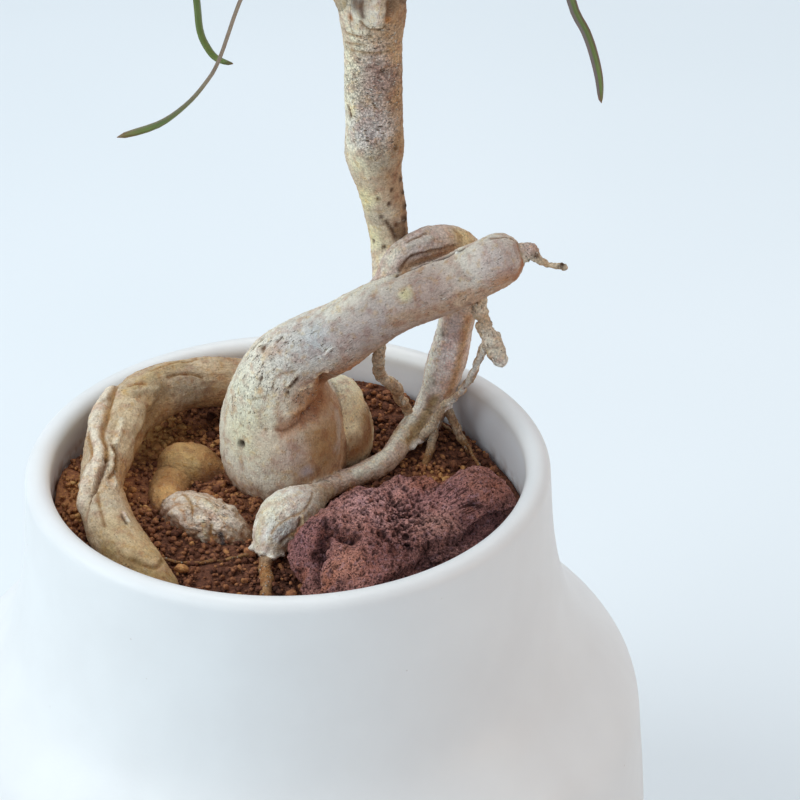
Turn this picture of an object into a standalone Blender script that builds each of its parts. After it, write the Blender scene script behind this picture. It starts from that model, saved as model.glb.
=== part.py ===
"""A euphorbia with bared, twisted roots in a round-shouldered white pot.

The pot stands on its flat foot, centred on the origin. Sizes are written in millimetres
and multiplied by MM where the geometry is made.
"""

import math
from itertools import product

import bmesh
import bpy
from mathutils import Matrix, Vector, noise

MM = 0.001
GAP = 0.3                   # clearance between pieces that touch
EDGE_ANGLE = math.radians(40)
WELD = 0.00001              # points closer than this are one point, in metres
DOME_REACH = 0.6            # where a root's domed end has its last ring, in radii
DOME_WIDTH = 0.8            # and that ring's radius, in radii

# Pot
LIP_HEIGHT = 119.6          # height of the centre of the rounded lip
LIP_RADIUS = 47.6           # radius of the ring that the lip is rolled on
LIP_ROUND = 2.4             # radius of the lip's own round
LIP_STEPS = 8
WALL = 4.8
FLOOR = 6.0
FOOT_RADIUS = 62.0
POT_SEGMENTS = 36
POT_SIDE = (                # outside radius and height, from the lip down to the foot
    (LIP_RADIUS + LIP_ROUND, LIP_HEIGHT),
    (50.6, 109.6),
    (51.2, 103.6),
    (52.4, 96.6),
    (54.6, 88.6),
    (57.6, 83.0),
    (62.4, 77.6),
    (66.2, 73.2),
    (68.2, 68.6),
    (69.0, 61.0),
    (70.2, 44.0),
    (70.4, 26.0),
    (69.4, 12.0),
    (67.4, 4.6),
    (64.6, 1.2),
)
INNER_CORNER = (            # how far in from the wall, and above the floor, the inside's corner runs
    (1.4, 4.3),
    (6.2, 0.8),
    (10.6, 0.0),
)
DRAIN_HOLES = 3
DRAIN_RADIUS = 4.0
DRAIN_CIRCLE = 22.0
DRAIN_SEGMENTS = 16

# Soil
SOIL_LEVEL = 110.0
SOIL_RINGS = 9
SOIL_LUMP = 1.1             # height of the lumps in the soil
SOIL_GRAIN = 9.0            # distance between lumps
SOIL_PATTERN = 3.7          # which slice of the noise the lumps are read from
SOIL_NECK = 107.0           # below this height the soil follows the inside of the pot
SOIL_HEAPS = (              # place, height and reach of the heaps and of one hollow
    (-44.0, 8.0, 4.5, 13.0),
    (14.0, 44.0, 4.6, 16.0),
    (42.0, 14.0, -2.8, 13.0),
)

# Lava stone
STONE_CENTRE = (20.0, -17.0, 114.0)
STONE_LUMPS = (             # place of each lump that the stone is made of, and its half sizes
    (12.5, -21.0, 114.0, 12.0, 11.0, 8.2),
    (24.0, -10.5, 114.4, 13.0, 9.0, 7.8),
    (34.8, -9.2, 115.4, 8.4, 8.0, 8.2),
    (15.4, -12.6, 115.0, 8.6, 7.6, 7.2),
    (15.0, -29.0, 112.6, 12.0, 10.5, 7.0),
    (26.5, -19.0, 113.0, 11.0, 9.0, 7.2),
)
STONE_FOOT = 108.8          # the stone's underside is worn flat here
STONE_FACES = 3             # subdivisions
STONE_ROUGH = 1.0           # height of the roughness on the lumps
STONE_COARSE = (2.1, (5.2, 1.4, 7.9))   # how close together, and where in the noise it is read
STONE_FINE = (4.6, (2.2, 8.1, 0.6))

# Roots, trunk and branches: x, y, z and radius at points along each one
BULB_ROOT = (
    (-1.0, 15.5, 96.0, 3.0),
    (-1.3, 15.0, 102.0, 7.0),
    (-1.1, 14.8, 108.0, 10.7),
    (-1.4, 15.0, 115.5, 12.4),
    (-1.8, 15.0, 122.5, 11.9),
    (-1.8, 14.5, 128.0, 10.1),
    (-0.5, 14.0, 133.0, 8.4),
    (3.0, 13.5, 137.0, 7.2),
    (9.5, 12.8, 141.2, 6.6),
    (14.0, 12.5, 144.6, 6.1),
    (20.5, 12.0, 148.5, 5.6),
    (31.0, 11.5, 153.3, 5.3),
    (36.6, 11.0, 156.6, 5.3),
    (39.9, 11.0, 158.3, 5.2),
)
BULB_LOBE = (
    (3.0, 18.0, 107.0, 6.0),
    (7.4, 20.5, 112.5, 8.0),
    (8.2, 21.0, 117.0, 8.1),
    (8.2, 21.0, 121.2, 6.3),
)
ARCH_ROOT = (
    (15.0, 13.0, 147.0, 2.5),
    (18.7, 15.0, 151.0, 2.6),
    (21.2, 16.8, 155.2, 3.0),
    (25.0, 19.0, 156.9, 3.3),
    (28.6, 21.5, 156.6, 3.5),
    (32.2, 24.0, 154.9, 3.5),
    (34.8, 26.0, 151.4, 3.3),
    (35.0, 27.0, 147.0, 3.1),
    (32.4, 28.0, 135.2, 3.4),
    (30.6, 28.5, 126.6, 3.9),
    (28.5, 28.3, 119.0, 3.3),
    (26.0, 27.0, 112.5, 3.0),
    (24.0, 25.0, 104.0, 2.2),
    (22.0, 22.0, 94.0, 1.2),
)
TRUNK = (
    (20.0, 14.0, 146.5, 3.3),
    (19.8, 17.5, 149.5, 3.4),
    (19.6, 20.5, 153.5, 3.5),
    (19.4, 22.0, 158.5, 3.8),
    (18.6, 22.0, 164.5, 4.1),
    (17.7, 22.0, 169.5, 4.5),
    (17.0, 22.0, 173.0, 5.1),
    (16.9, 22.0, 176.0, 5.7),
    (16.9, 22.0, 181.5, 5.4),
    (16.9, 22.0, 191.5, 5.4),
    (16.8, 22.0, 198.5, 5.6),
    (16.8, 22.0, 204.5, 6.3),
    (16.8, 22.0, 209.5, 5.8),
)
SIDE_ROOT = (
    (4.0, 26.0, 106.0, 3.0),
    (-1.0, 31.5, 112.0, 4.2),
    (-6.0, 35.0, 115.8, 4.8),
    (-11.0, 35.4, 118.2, 5.0),
    (-20.6, 32.6, 119.7, 5.0),
    (-27.4, 26.6, 120.6, 5.5),
    (-31.4, 20.2, 120.8, 5.4),
    (-33.5, 13.8, 120.2, 5.6),
    (-35.2, 6.0, 118.3, 4.8),
    (-35.7, 0.5, 117.2, 4.2),
    (-35.2, -4.6, 116.0, 4.4),
    (-33.2, -12.0, 114.6, 4.8),
    (-30.0, -18.2, 113.2, 4.9),
    (-26.6, -22.8, 111.6, 4.4),
    (-23.0, -26.6, 109.4, 3.6),
    (-18.0, -29.6, 103.0, 2.0),
)
BROWN_TUBER = (
    (-5.0, 15.0, 103.0, 4.0),
    (-13.0, 16.0, 106.5, 3.4),
    (-18.6, 16.2, 109.2, 5.2),
    (-21.6, 15.4, 110.5, 5.0),
)
TUBER_NECK = (
    (-21.8, 15.0, 109.4, 4.0),
    (-24.0, 9.0, 109.2, 3.9),
    (-23.4, 3.0, 109.4, 3.8),
    (-20.6, -2.0, 109.4, 3.4),
)
GREY_TUBER = (
    (-23.6, 1.5, 108.5, 2.8),
    (-20.4, -1.6, 110.6, 4.2),
    (-16.0, -4.9, 111.2, 4.7),
    (-11.6, -7.6, 110.6, 4.1),
    (-8.0, -9.0, 108.6, 2.6),
)
SMALL_BULB = (
    (7.0, 4.2, 112.1, 1.9),
    (4.4, -1.0, 113.4, 3.0),
    (2.2, -5.4, 114.0, 4.8),
    (-0.2, -9.2, 114.0, 5.5),
    (-2.2, -12.8, 113.2, 4.5),
    (-3.2, -15.4, 112.0, 3.2),
    (-3.5, -17.2, 110.6, 1.6),
)
LEG_ROOT = (
    (27.0, 27.0, 115.5, 2.9),
    (22.4, 22.4, 113.2, 2.5),
    (20.1, 17.0, 112.6, 2.3),
    (17.6, 13.3, 112.1, 2.3),
    (13.9, 10.6, 111.8, 2.1),
    (10.2, 7.9, 111.8, 1.9),
    (7.0, 4.2, 112.1, 1.9),
)
THIN_ROOTS = (
    ((17.4, 12.6, 142.0, 1.6), (17.5, 13.6, 137.0, 1.2), (17.3, 15.0, 133.6, 1.1), (18.0, 18.0, 129.2, 1.0),
     (20.2, 21.8, 125.2, 1.2), (21.6, 24.2, 120.6, 1.0), (23.4, 26.0, 115.6, 1.1)),
    ((37.2, 11.2, 154.2, 1.9), (36.6, 10.6, 149.4, 1.5), (37.2, 10.2, 145.4, 1.5), (38.8, 9.6, 141.6, 1.7),
     (40.6, 9.2, 138.0, 1.4)),
    ((38.2, 9.8, 142.4, 1.0), (36.9, 12.0, 137.4, 0.8), (34.8, 16.0, 129.6, 0.7), (33.0, 19.2, 124.6, 0.7),
     (29.6, 21.8, 120.0, 0.8), (27.6, 22.2, 115.6, 0.9), (23.6, 22.6, 111.6, 0.9)),
    ((43.0, 11.0, 158.8, 1.8), (45.6, 10.5, 160.2, 1.7), (47.2, 10.0, 159.0, 0.9), (49.2, 9.4, 158.2, 0.6),
     (52.2, 8.5, 157.8, 0.6)),
    ((30.0, 28.0, 119.0, 1.4), (32.0, 25.6, 114.6, 0.9), (34.4, 23.6, 110.2, 0.8), (36.4, 20.6, 106.0, 0.7)),
    ((28.4, 26.8, 115.6, 1.2), (27.4, 21.0, 111.6, 0.8), (26.0, 17.0, 108.8, 0.7), (25.0, 14.6, 105.6, 0.6)),
    ((-3.4, -15.6, 111.2, 1.3), (-3.8, -20.0, 110.8, 1.3), (-3.6, -26.0, 110.6, 1.3),
     (-3.2, -33.0, 108.0, 1.1)),
)
BURIED_ROOTS = (
    ((-1.0, 15.5, 101.0, 4.0), (-6.0, 12.0, 86.0, 2.6), (-8.0, 6.0, 68.0, 1.2)),
    ((-1.0, 15.5, 101.0, 4.0), (6.0, 12.0, 88.0, 2.6), (12.0, 4.0, 72.0, 1.2)),
    ((-1.0, 15.5, 101.0, 4.0), (-2.0, 24.0, 86.0, 2.4), (2.0, 32.0, 66.0, 1.2)),
)
SPUR = ((15.6, 19.0, 203.0, 3.2), (15.7, 16.4, 208.5, 2.4), (15.9, 14.8, 214.0, 1.2))
THICK_ROOTS = (             # points, and corners round the root
    (BULB_ROOT, 12),
    (BULB_LOBE, 9),
    (ARCH_ROOT, 8),
    (SIDE_ROOT, 8),
    (BROWN_TUBER, 8),
    (TUBER_NECK, 8),
    (GREY_TUBER, 8),
    (SMALL_BULB, 8),
    (LEG_ROOT, 7),
)
THIN_CORNERS = 5
BURIED_CORNERS = 6
TRUNK_CORNERS = 10
LEFT_BRANCH = (
    (15.5, 22.0, 205.0, 4.8),
    (10.6, 22.0, 214.0, 4.2),
    (3.6, 20.5, 223.4, 3.5),
    (-3.0, 18.0, 233.0, 3.0),
)
RIGHT_BRANCH = (
    (18.0, 22.0, 206.0, 4.8),
    (22.0, 22.0, 214.5, 4.2),
    (29.6, 20.2, 222.4, 3.5),
    (36.0, 18.0, 230.0, 3.0),
)
BACK_BRANCH = (
    (17.0, 24.0, 204.0, 4.6),
    (17.5, 29.0, 214.0, 4.0),
    (18.5, 35.0, 226.0, 3.4),
    (18.5, 40.0, 238.0, 3.0),
)
TOP_BRANCH = (
    (17.0, 21.5, 205.0, 4.6),
    (17.5, 20.5, 222.0, 3.8),
    (15.5, 19.5, 240.0, 3.2),
    (17.0, 18.5, 256.0, 2.8),
)
BRANCHES = (LEFT_BRANCH, RIGHT_BRANCH, BACK_BRANCH, TOP_BRANCH)
BRANCH_CORNERS = 8
TWIG_CORNERS = 6
TWIG_ROUND = 1.9            # radius of a twig where it leaves its branch
TWIG_TIP = 1.5
TWIG_ROOT = 0.25            # share of the branch's last stretch that lies past the twig's root
TWIG_SAG = 0.12             # how far a twig's middle hangs below the straight line, in lengths
TWIGS = (                   # branch, and the twig's tip
    ("left", 0, (-7.5, 12.5, 245.0)),
    ("far_left", 0, (-24.0, 26.0, 250.0)),
    ("left_back", 0, (-4.0, 34.0, 256.0)),
    ("right", 1, (42.0, 12.5, 243.0)),
    ("right_back", 1, (50.0, 32.0, 254.0)),
    ("back", 2, (5.0, 56.0, 255.0)),
    ("back_right", 2, (30.0, 56.0, 258.0)),
    ("top", 3, (6.0, 14.0, 276.0)),
    ("top_right", 3, (30.0, 16.0, 276.0)),
)

# Leaves
SHOOT_LENGTH = 13.0         # green young shoot at each twig's tip
SHOOT_ROUND = 1.4
SHOOT_TIP = 0.8
SHOOT_LIFT = 0.75           # share of straight up in the shoot's direction
LEAVES_ON_A_SHOOT = 10
LEAF_TURN = math.radians(137.5)
SHOOT_TURN = 1.9            # how far each shoot's first leaf is turned from the last shoot's
LEAF_LENGTH = (74.0, 40.0)  # lowest and highest leaf of a shoot
LEAF_RISE = (math.radians(28), math.radians(66))
LEAF_BEND = math.radians(130)
LEAF_CURL = 1.3             # above 1, a leaf bends more towards its tip
LEAF_WIDTH = 2.3
HANGING_WIDTH = 2.0
STALK_WIDTH = 0.45          # width at the stalk and at the tip, in widths of the blade
TIP_WIDTH = 0.3
WIDENING = 2.2              # how fast it widens from the stalk and narrows to the tip
NARROWING = 2.6
LEAF_THICK = 0.7
LEAF_STEPS = 5
BENDS_TRIED = (1.0, 0.8, 0.6, 0.45)
TURNS_TRIED = (0.0, 0.2, -0.2, 0.4, -0.4, 0.6, -0.6)
LEAF_TESTS = 6              # points tested on each step of a leaf
STEM_TESTS = 4              # and along a shoot
HANGING_FREE = 3            # points at a hanging leaf's root that other leaves may come near
LEAF_CLEAR = 2.6            # distance kept between leaves of different shoots
WOOD_CLEAR = 1.2            # distance kept between leaves and wood
CROWN_EDGE = 215.0          # no other leaf hangs lower than this at y = 0
CROWN_SLOPE = 0.44          # and the crown's lower edge rises by this towards the front
HANGING_LEAVES = {          # share along the shoot, and points, of the leaves that hang lowest
    "left": (
        (0.1, (
            (-3.4, 12.0, 247.5),
            (-0.6, 9.5, 242.0),
            (0.4, 8.5, 232.0),
            (-2.0, 8.2, 221.0),
            (-6.5, 8.2, 211.9),
            (-10.5, 8.0, 200.9),
            (-13.1, 7.6, 196.4),
            (-16.9, 7.0, 192.1),
            (-22.0, 6.0, 188.8),
            (-29.5, 5.0, 187.0),
        )),
        (0.4, (
            (-12.4, 10.5, 251.0),
            (-15.0, 11.0, 243.0),
            (-15.4, 12.0, 227.0),
            (-14.3, 12.0, 210.7),
            (-13.9, 12.0, 204.7),
            (-12.6, 11.4, 201.6),
            (-11.0, 10.6, 200.0),
            (-8.2, 9.0, 199.5),
        )),
    ),
    "right": (
        (0.2, (
            (46.5, 12.5, 245.5),
            (48.6, 12.5, 238.0),
            (49.8, 12.5, 226.0),
            (52.6, 12.0, 210.3),
            (55.3, 10.4, 204.7),
            (56.7, 9.4, 200.9),
            (57.8, 8.2, 196.4),
            (58.1, 7.0, 192.2),
        )),
    ),
}

COLOURS = {
    "pot": ((0.82, 0.81, 0.78, 1.0), 0.45),
    "soil": ((0.09, 0.045, 0.022, 1.0), 0.95),
    "lava_stone": ((0.16, 0.06, 0.055, 1.0), 0.9),
    "roots_and_trunk": ((0.45, 0.36, 0.25, 1.0), 0.75),
    "leaves": ((0.10, 0.19, 0.07, 1.0), 0.5),
}


def clear_scene():
    for item in list(bpy.data.objects):
        bpy.data.objects.remove(item, do_unlink=True)


def paint(item, finish):
    """Give an object a material of its own, in one of the part's finishes."""
    colour, roughness = COLOURS[finish]
    material = bpy.data.materials.new(item.name)
    material.use_nodes = True
    shader = material.node_tree.nodes["Principled BSDF"]
    shader.inputs["Base Color"].default_value = colour
    shader.inputs["Roughness"].default_value = roughness
    shader.inputs["Metallic"].default_value = 0.0
    item.data.materials.clear()
    item.data.materials.append(material)


def add_object(name, shape):
    """Turn a bmesh in millimetres into an object in metres."""
    bmesh.ops.recalc_face_normals(shape, faces=shape.faces)
    shape.transform(Matrix.Scale(MM, 4))
    mesh = bpy.data.meshes.new(name)
    shape.to_mesh(mesh)
    shape.free()
    mesh.shade_smooth()
    mesh.set_sharp_from_angle(angle=EDGE_ANGLE)
    item = bpy.data.objects.new(name, mesh)
    bpy.context.scene.collection.objects.link(item)
    return item


def settle(item):
    """Replace an object's mesh by its evaluated one and drop its modifiers."""
    depsgraph = bpy.context.evaluated_depsgraph_get()
    mesh = bpy.data.meshes.new_from_object(item.evaluated_get(depsgraph))
    item.modifiers.clear()
    item.data = mesh


def combine(item, others, operation, solver="EXACT"):
    """Join the other objects to the first, or cut them out of it, and remove them."""
    group = bpy.data.collections.new(item.name + "_group")
    bpy.context.scene.collection.children.link(group)
    for other in others:
        bpy.context.scene.collection.objects.unlink(other)
        group.objects.link(other)
    change = item.modifiers.new(operation.lower(), "BOOLEAN")
    change.operation = operation
    change.operand_type = "COLLECTION"
    change.collection = group
    change.solver = solver
    settle(item)
    for other in others:
        bpy.data.objects.remove(other, do_unlink=True)
    bpy.data.collections.remove(group)
    keep_main_body(item)


def keep_main_body(item):
    """Weld stray points and drop loose scraps, so that one closed body is left."""
    shape = bmesh.new()
    shape.from_mesh(item.data)
    bmesh.ops.remove_doubles(shape, verts=shape.verts, dist=WELD)
    bmesh.ops.dissolve_degenerate(shape, edges=shape.edges, dist=WELD)
    bmesh.ops.triangulate(shape, faces=shape.faces)
    left = set(shape.faces)
    bodies = []
    while left:
        front = [left.pop()]
        body = set(front)
        while front:
            face = front.pop()
            for edge in face.edges:
                for near in edge.link_faces:
                    if near in left:
                        left.discard(near)
                        body.add(near)
                        front.append(near)
        bodies.append(body)
    bodies.sort(key=len)
    scraps = [face for body in bodies[:-1] for face in body]
    bmesh.ops.delete(shape, geom=scraps, context="FACES")
    shape.to_mesh(item.data)
    shape.free()


def blend(points, share):
    """Point on a smooth curve through four neighbouring points, each a tuple of numbers."""
    before, start, end, after = points
    return tuple(
        0.5 * (2 * b + (c - a) * share + (2 * a - 5 * b + 4 * c - d) * share ** 2
               + (3 * b - a - 3 * c + d) * share ** 3)
        for a, b, c, d in zip(before, start, end, after)
    )


def smooth_line(points, steps):
    """A smooth curve through all the points, with this many steps between two of them."""
    ends = [points[0], *points, points[-1]]
    line = []
    for index in range(len(points) - 1):
        four = ends[index:index + 4]
        line.extend(blend(four, step / steps) for step in range(steps))
    line.append(points[-1])
    return line


def lathe(profile, segments):
    """Turn a profile of (radius, height) about Z; its two ends lie on the axis."""
    shape = bmesh.new()
    rings = []
    for radius, height in profile:
        if radius == 0.0:
            rings.append([shape.verts.new((0.0, 0.0, height))])
            continue
        turns = [2 * math.pi * index / segments for index in range(segments)]
        rings.append([shape.verts.new((radius * math.cos(a), radius * math.sin(a), height)) for a in turns])
    for upper, lower in zip(rings, rings[1:]):
        bridge(shape, upper, lower)
    return shape


def bridge(shape, ring, other):
    """Join two rings of points, either of which may be a single point."""
    count = max(len(ring), len(other))
    for index in range(count):
        after = (index + 1) % count
        corners = [ring[index % len(ring)], ring[after % len(ring)], other[after % len(other)],
                   other[index % len(other)]]
        shape.faces.new(list(dict.fromkeys(corners)))


def tube(name, points, sides, steps=2, grow=0.0, domed=True):
    """A closed round root or branch along points of (x, y, z, radius)."""
    line = smooth_line(points, steps)
    places = [Vector(point[:3]) for point in line]
    sizes = [point[3] + grow for point in line]
    first = (places[1] - places[0]).normalized()
    last = (places[-1] - places[-2]).normalized()
    if not domed:
        places[0] -= first * grow
        places[-1] += last * grow
    rings = list(zip(places, sizes))
    if domed:
        rings.insert(0, (places[0] - first * sizes[0] * DOME_REACH, sizes[0] * DOME_WIDTH))
        rings.append((places[-1] + last * sizes[-1] * DOME_REACH, sizes[-1] * DOME_WIDTH))
    shape = bmesh.new()
    side = first.orthogonal().normalized()
    loops = []
    for index, (place, size) in enumerate(rings):
        ahead = rings[min(index + 1, len(rings) - 1)][0]
        behind = rings[max(index - 1, 0)][0]
        along = (ahead - behind).normalized()
        side = (side - along * side.dot(along)).normalized()
        across = along.cross(side)
        turns = [2 * math.pi * turn / sides for turn in range(sides)]
        round_about = [side * math.cos(a) + across * math.sin(a) for a in turns]
        loops.append([shape.verts.new(place + way * size) for way in round_about])
    for ring, other in zip(loops, loops[1:]):
        bridge(shape, ring, other)
    if domed:
        bridge(shape, [shape.verts.new(places[0] - first * sizes[0])], loops[0])
        bridge(shape, loops[-1], [shape.verts.new(places[-1] + last * sizes[-1])])
    else:
        shape.faces.new(loops[0])
        shape.faces.new(loops[-1])
    return add_object(name, shape)


def pot_inside(gap=0.0):
    """Inside of the pot, from the lip down to the floor, set in from the outside by the wall."""
    inside = []
    for index, (radius, height) in enumerate(POT_SIDE):
        before = POT_SIDE[max(index - 1, 0)]
        after = POT_SIDE[min(index + 1, len(POT_SIDE) - 1)]
        run = math.hypot(after[0] - before[0], after[1] - before[1])
        inward = ((after[1] - before[1]) / run, (before[0] - after[0]) / run)
        place = (radius + inward[0] * (WALL + gap), height + inward[1] * (WALL + gap))
        if FLOOR + 2 * WALL < place[1] < LIP_HEIGHT - LIP_ROUND:
            inside.append(place)
    wall = inside[-1][0]
    inside += [(wall - inward, FLOOR + rise + gap) for inward, rise in INNER_CORNER]
    return inside


def make_pot():
    """White pot with a rounded lip, a straight neck, a sloping shoulder and a flat foot."""
    turns = [math.pi * step / LIP_STEPS for step in range(LIP_STEPS)]
    lip = [(LIP_RADIUS - LIP_ROUND * math.cos(a), LIP_HEIGHT + LIP_ROUND * math.sin(a)) for a in turns]
    inside = list(reversed(pot_inside()))
    profile = [(0.0, FLOOR), *inside, *lip, *POT_SIDE, (FOOT_RADIUS, 0.0), (0.0, 0.0)]
    pot = add_object("pot", lathe(profile, POT_SEGMENTS))
    holes = []
    for index in range(DRAIN_HOLES):
        turn = 2 * math.pi * index / DRAIN_HOLES + math.pi / 2
        place = (DRAIN_CIRCLE * math.cos(turn), DRAIN_CIRCLE * math.sin(turn), 0.0)
        low, high = -WALL, FLOOR + WALL
        drill = lathe([(0.0, low), (DRAIN_RADIUS, low), (DRAIN_RADIUS, high), (0.0, high)], DRAIN_SEGMENTS)
        bmesh.ops.translate(drill, verts=drill.verts, vec=place)
        holes.append(add_object("drain_%d" % index, drill))
    combine(pot, holes, "DIFFERENCE")
    paint(pot, "pot")


def soil_height(x, y):
    """Height of the soil's surface: lumps, higher at the left and the back, lower at the right."""
    height = SOIL_LEVEL + SOIL_LUMP * noise.noise(Vector((x / SOIL_GRAIN, y / SOIL_GRAIN, SOIL_PATTERN)))
    for heap_x, heap_y, rise, reach in SOIL_HEAPS:
        height += rise * math.exp(-((x - heap_x) ** 2 + (y - heap_y) ** 2) / reach ** 2)
    return height


def make_soil(cutters):
    """Soil that fills the pot, with holes where the roots and the stone sit in it."""
    wall = [place for place in pot_inside(GAP) if place[1] < SOIL_NECK]
    mouth = LIP_RADIUS - LIP_ROUND - GAP
    top = [(mouth * ring / SOIL_RINGS, SOIL_LEVEL) for ring in range(SOIL_RINGS + 1)]
    shape = lathe([*top, *wall, (0.0, FLOOR + GAP)], POT_SEGMENTS)
    for point in shape.verts:
        if point.co.z > SOIL_NECK:
            point.co.z = soil_height(point.co.x, point.co.y)
    soil = add_object("soil", shape)
    combine(soil, cutters, "DIFFERENCE", "MANIFOLD")
    paint(soil, "soil")


def stone_reach(way):
    """Distance from the stone's centre to its surface, where its furthest lump ends."""
    centre = Vector(STONE_CENTRE)
    reach = 0.0
    for x, y, z, wide, deep, high in STONE_LUMPS:
        start = centre - Vector((x, y, z))
        sizes = (wide, deep, high)
        a = sum((way[axis] / sizes[axis]) ** 2 for axis in range(3))
        b = sum(way[axis] * start[axis] / sizes[axis] ** 2 for axis in range(3))
        c = sum((start[axis] / sizes[axis]) ** 2 for axis in range(3)) - 1.0
        inside = b * b - a * c
        if inside > 0.0:
            reach = max(reach, (math.sqrt(inside) - b) / a)
    return reach


def roughness(way, pattern):
    """Noise on the stone's surface, in a pattern of so many lumps, read from its own place."""
    closeness, place = pattern
    return noise.noise(way * closeness + Vector(place))


def stone_shape(name, grow=0.0):
    """A rough oblong stone of a few lumps, lying in the front right of the pot."""
    shape = bmesh.new()
    bmesh.ops.create_icosphere(shape, subdivisions=STONE_FACES, radius=1.0)
    for point in shape.verts:
        way = point.co.normalized()
        rough = roughness(way, STONE_COARSE) + roughness(way, STONE_FINE)
        point.co = way * (stone_reach(way) + STONE_ROUGH * rough + grow) + Vector(STONE_CENTRE)
        point.co.z = max(point.co.z, STONE_FOOT - grow)
    return add_object(name, shape)


def make_stone():
    paint(stone_shape("lava_stone"), "lava_stone")


def all_roots(grow=0.0):
    """Every root that reaches the soil, each a solid of its own."""
    thick = [tube("root", line, corners, grow=grow) for line, corners in THICK_ROOTS]
    thin = [tube("thin_root", line, THIN_CORNERS, 1, grow, False) for line in THIN_ROOTS]
    buried = [tube("buried_root", line, BURIED_CORNERS, 1, grow, False) for line in BURIED_ROOTS]
    return thick + thin + buried


def twig_points(branch, tip):
    """A twig that leaves the end of its branch and turns up towards its tip."""
    end = Vector(BRANCHES[branch][-1][:3])
    before = Vector(BRANCHES[branch][-2][:3])
    root = end.lerp(before, TWIG_ROOT)
    tip = Vector(tip)
    middle = root.lerp(tip, 0.5) - Vector((0.0, 0.0, TWIG_SAG * (tip - root).length))
    return ((*root, TWIG_ROUND), (*middle, 0.5 * (TWIG_ROUND + TWIG_TIP)), (*tip, TWIG_TIP))


def make_plant():
    """Roots, trunk, branches and twigs: grown as one, so one solid."""
    plant = tube("roots_and_trunk", TRUNK, TRUNK_CORNERS)
    parts = [*all_roots(), tube("spur", SPUR, TWIG_CORNERS)]
    parts += [tube("branch", points, BRANCH_CORNERS) for points in BRANCHES]
    twigs = [twig_points(branch, tip) for name, branch, tip in TWIGS]
    parts += [tube("twig", points, TWIG_CORNERS, domed=False) for points in twigs]
    combine(plant, parts, "UNION", "MANIFOLD")
    paint(plant, "roots_and_trunk")


def shoot_line(branch, tip):
    """Start and end of the green shoot that carries on from a twig's tip."""
    twig = twig_points(branch, tip)
    along = (Vector(tip) - Vector(twig[1][:3])).normalized()
    way = along.lerp(Vector((0.0, 0.0, 1.0)), SHOOT_LIFT).normalized()
    start = Vector(tip) + along * (GAP + 0.5 * SHOOT_ROUND)
    return start, start + way * SHOOT_LENGTH


def leaf_line(root, azimuth, rise, bend, length):
    """Middle line of a leaf that leaves the shoot at the rise and bends down along its length."""
    out = Vector((math.cos(azimuth), math.sin(azimuth), 0.0))
    line = [root]
    for step in range(LEAF_STEPS):
        angle = rise - bend * ((step + 0.5) / LEAF_STEPS) ** LEAF_CURL
        way = out * math.cos(angle) + Vector((0.0, 0.0, math.sin(angle)))
        line.append(line[-1] + way * (length / LEAF_STEPS))
    return line


def above_crown_edge(line):
    return all(point.z > CROWN_EDGE - CROWN_SLOPE * point.y for point in line)


def close_points(line):
    """Points along a leaf from just past its root, close enough together to test its room by."""
    points = [
        start.lerp(end, step / LEAF_TESTS)
        for start, end in zip(line, line[1:])
        for step in range(LEAF_TESTS)
    ]
    return points[1:] + [line[-1]]


def clear_of(line, taken):
    """Whether every part of a leaf keeps its distance from the points taken."""
    return all((point - place).length > room for point in close_points(line) for place, room in taken)


def place_leaf(root, azimuth, rise, length, taken):
    """Try gentler bends and small turns until the leaf hangs clear of all others."""
    for bend, turn in product(BENDS_TRIED, TURNS_TRIED):
        line = leaf_line(root, azimuth + turn, rise, LEAF_BEND * bend, length)
        if above_crown_edge(line) and clear_of(line, taken):
            return line
    return None


def blade(name, line, width):
    """A narrow leaf: a flat strip that widens from its stalk and narrows to its tip."""
    shape = bmesh.new()
    side = (line[1] - line[0]).cross(Vector((0.0, 0.0, 1.0))).normalized()
    loops = []
    for index, place in enumerate(line):
        share = index / (len(line) - 1)
        along = (line[min(index + 1, len(line) - 1)] - line[max(index - 1, 0)]).normalized()
        side = (side - along * side.dot(along)).normalized()
        out = along.cross(side)
        stalk, tip = STALK_WIDTH + WIDENING * share, TIP_WIDTH + NARROWING * (1.0 - share)
        half = 0.5 * width * min(1.0, stalk, tip)
        deep = 0.5 * LEAF_THICK
        corners = ((half, deep), (-half, deep), (-half, -deep), (half, -deep))
        loops.append([shape.verts.new(place + side * a + out * b) for a, b in corners])
    for ring, other in zip(loops, loops[1:]):
        bridge(shape, ring, other)
    shape.faces.new(loops[0])
    shape.faces.new(loops[-1])
    return add_object(name, shape)


def points_taken():
    """Points along the wood, the shoots and the hanging leaves, with the room kept round them."""
    twigs = [twig_points(branch, tip) for name, branch, tip in TWIGS]
    taken = []
    for points in (*BRANCHES, *twigs, TRUNK, SPUR):
        line = smooth_line(points, 2 * LEAF_TESTS)
        taken += [(Vector(place[:3]), place[3] + WOOD_CLEAR) for place in line]
    for name, branch, tip in TWIGS:
        start, end = shoot_line(branch, tip)
        for share, points in HANGING_LEAVES.get(name, ()):
            line = [start.lerp(end, share), *points]
            taken += [(Vector(place), LEAF_CLEAR) for place in smooth_line(line, LEAF_TESTS)[HANGING_FREE:]]
    return taken


def shoot_leaves(number, taken):
    """Middle lines of the leaves that stand round one shoot, lowest first."""
    start, end = shoot_line(*TWIGS[number][1:])
    lines = []
    for index in range(LEAVES_ON_A_SHOOT):
        share = (index + 1) / LEAVES_ON_A_SHOOT
        rise = LEAF_RISE[0] + (LEAF_RISE[1] - LEAF_RISE[0]) * share
        length = LEAF_LENGTH[0] + (LEAF_LENGTH[1] - LEAF_LENGTH[0]) * share
        azimuth = LEAF_TURN * index + SHOOT_TURN * number
        line = place_leaf(start.lerp(end, share), azimuth, rise, length, taken)
        if line:
            lines.append(line)
    return lines


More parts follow.
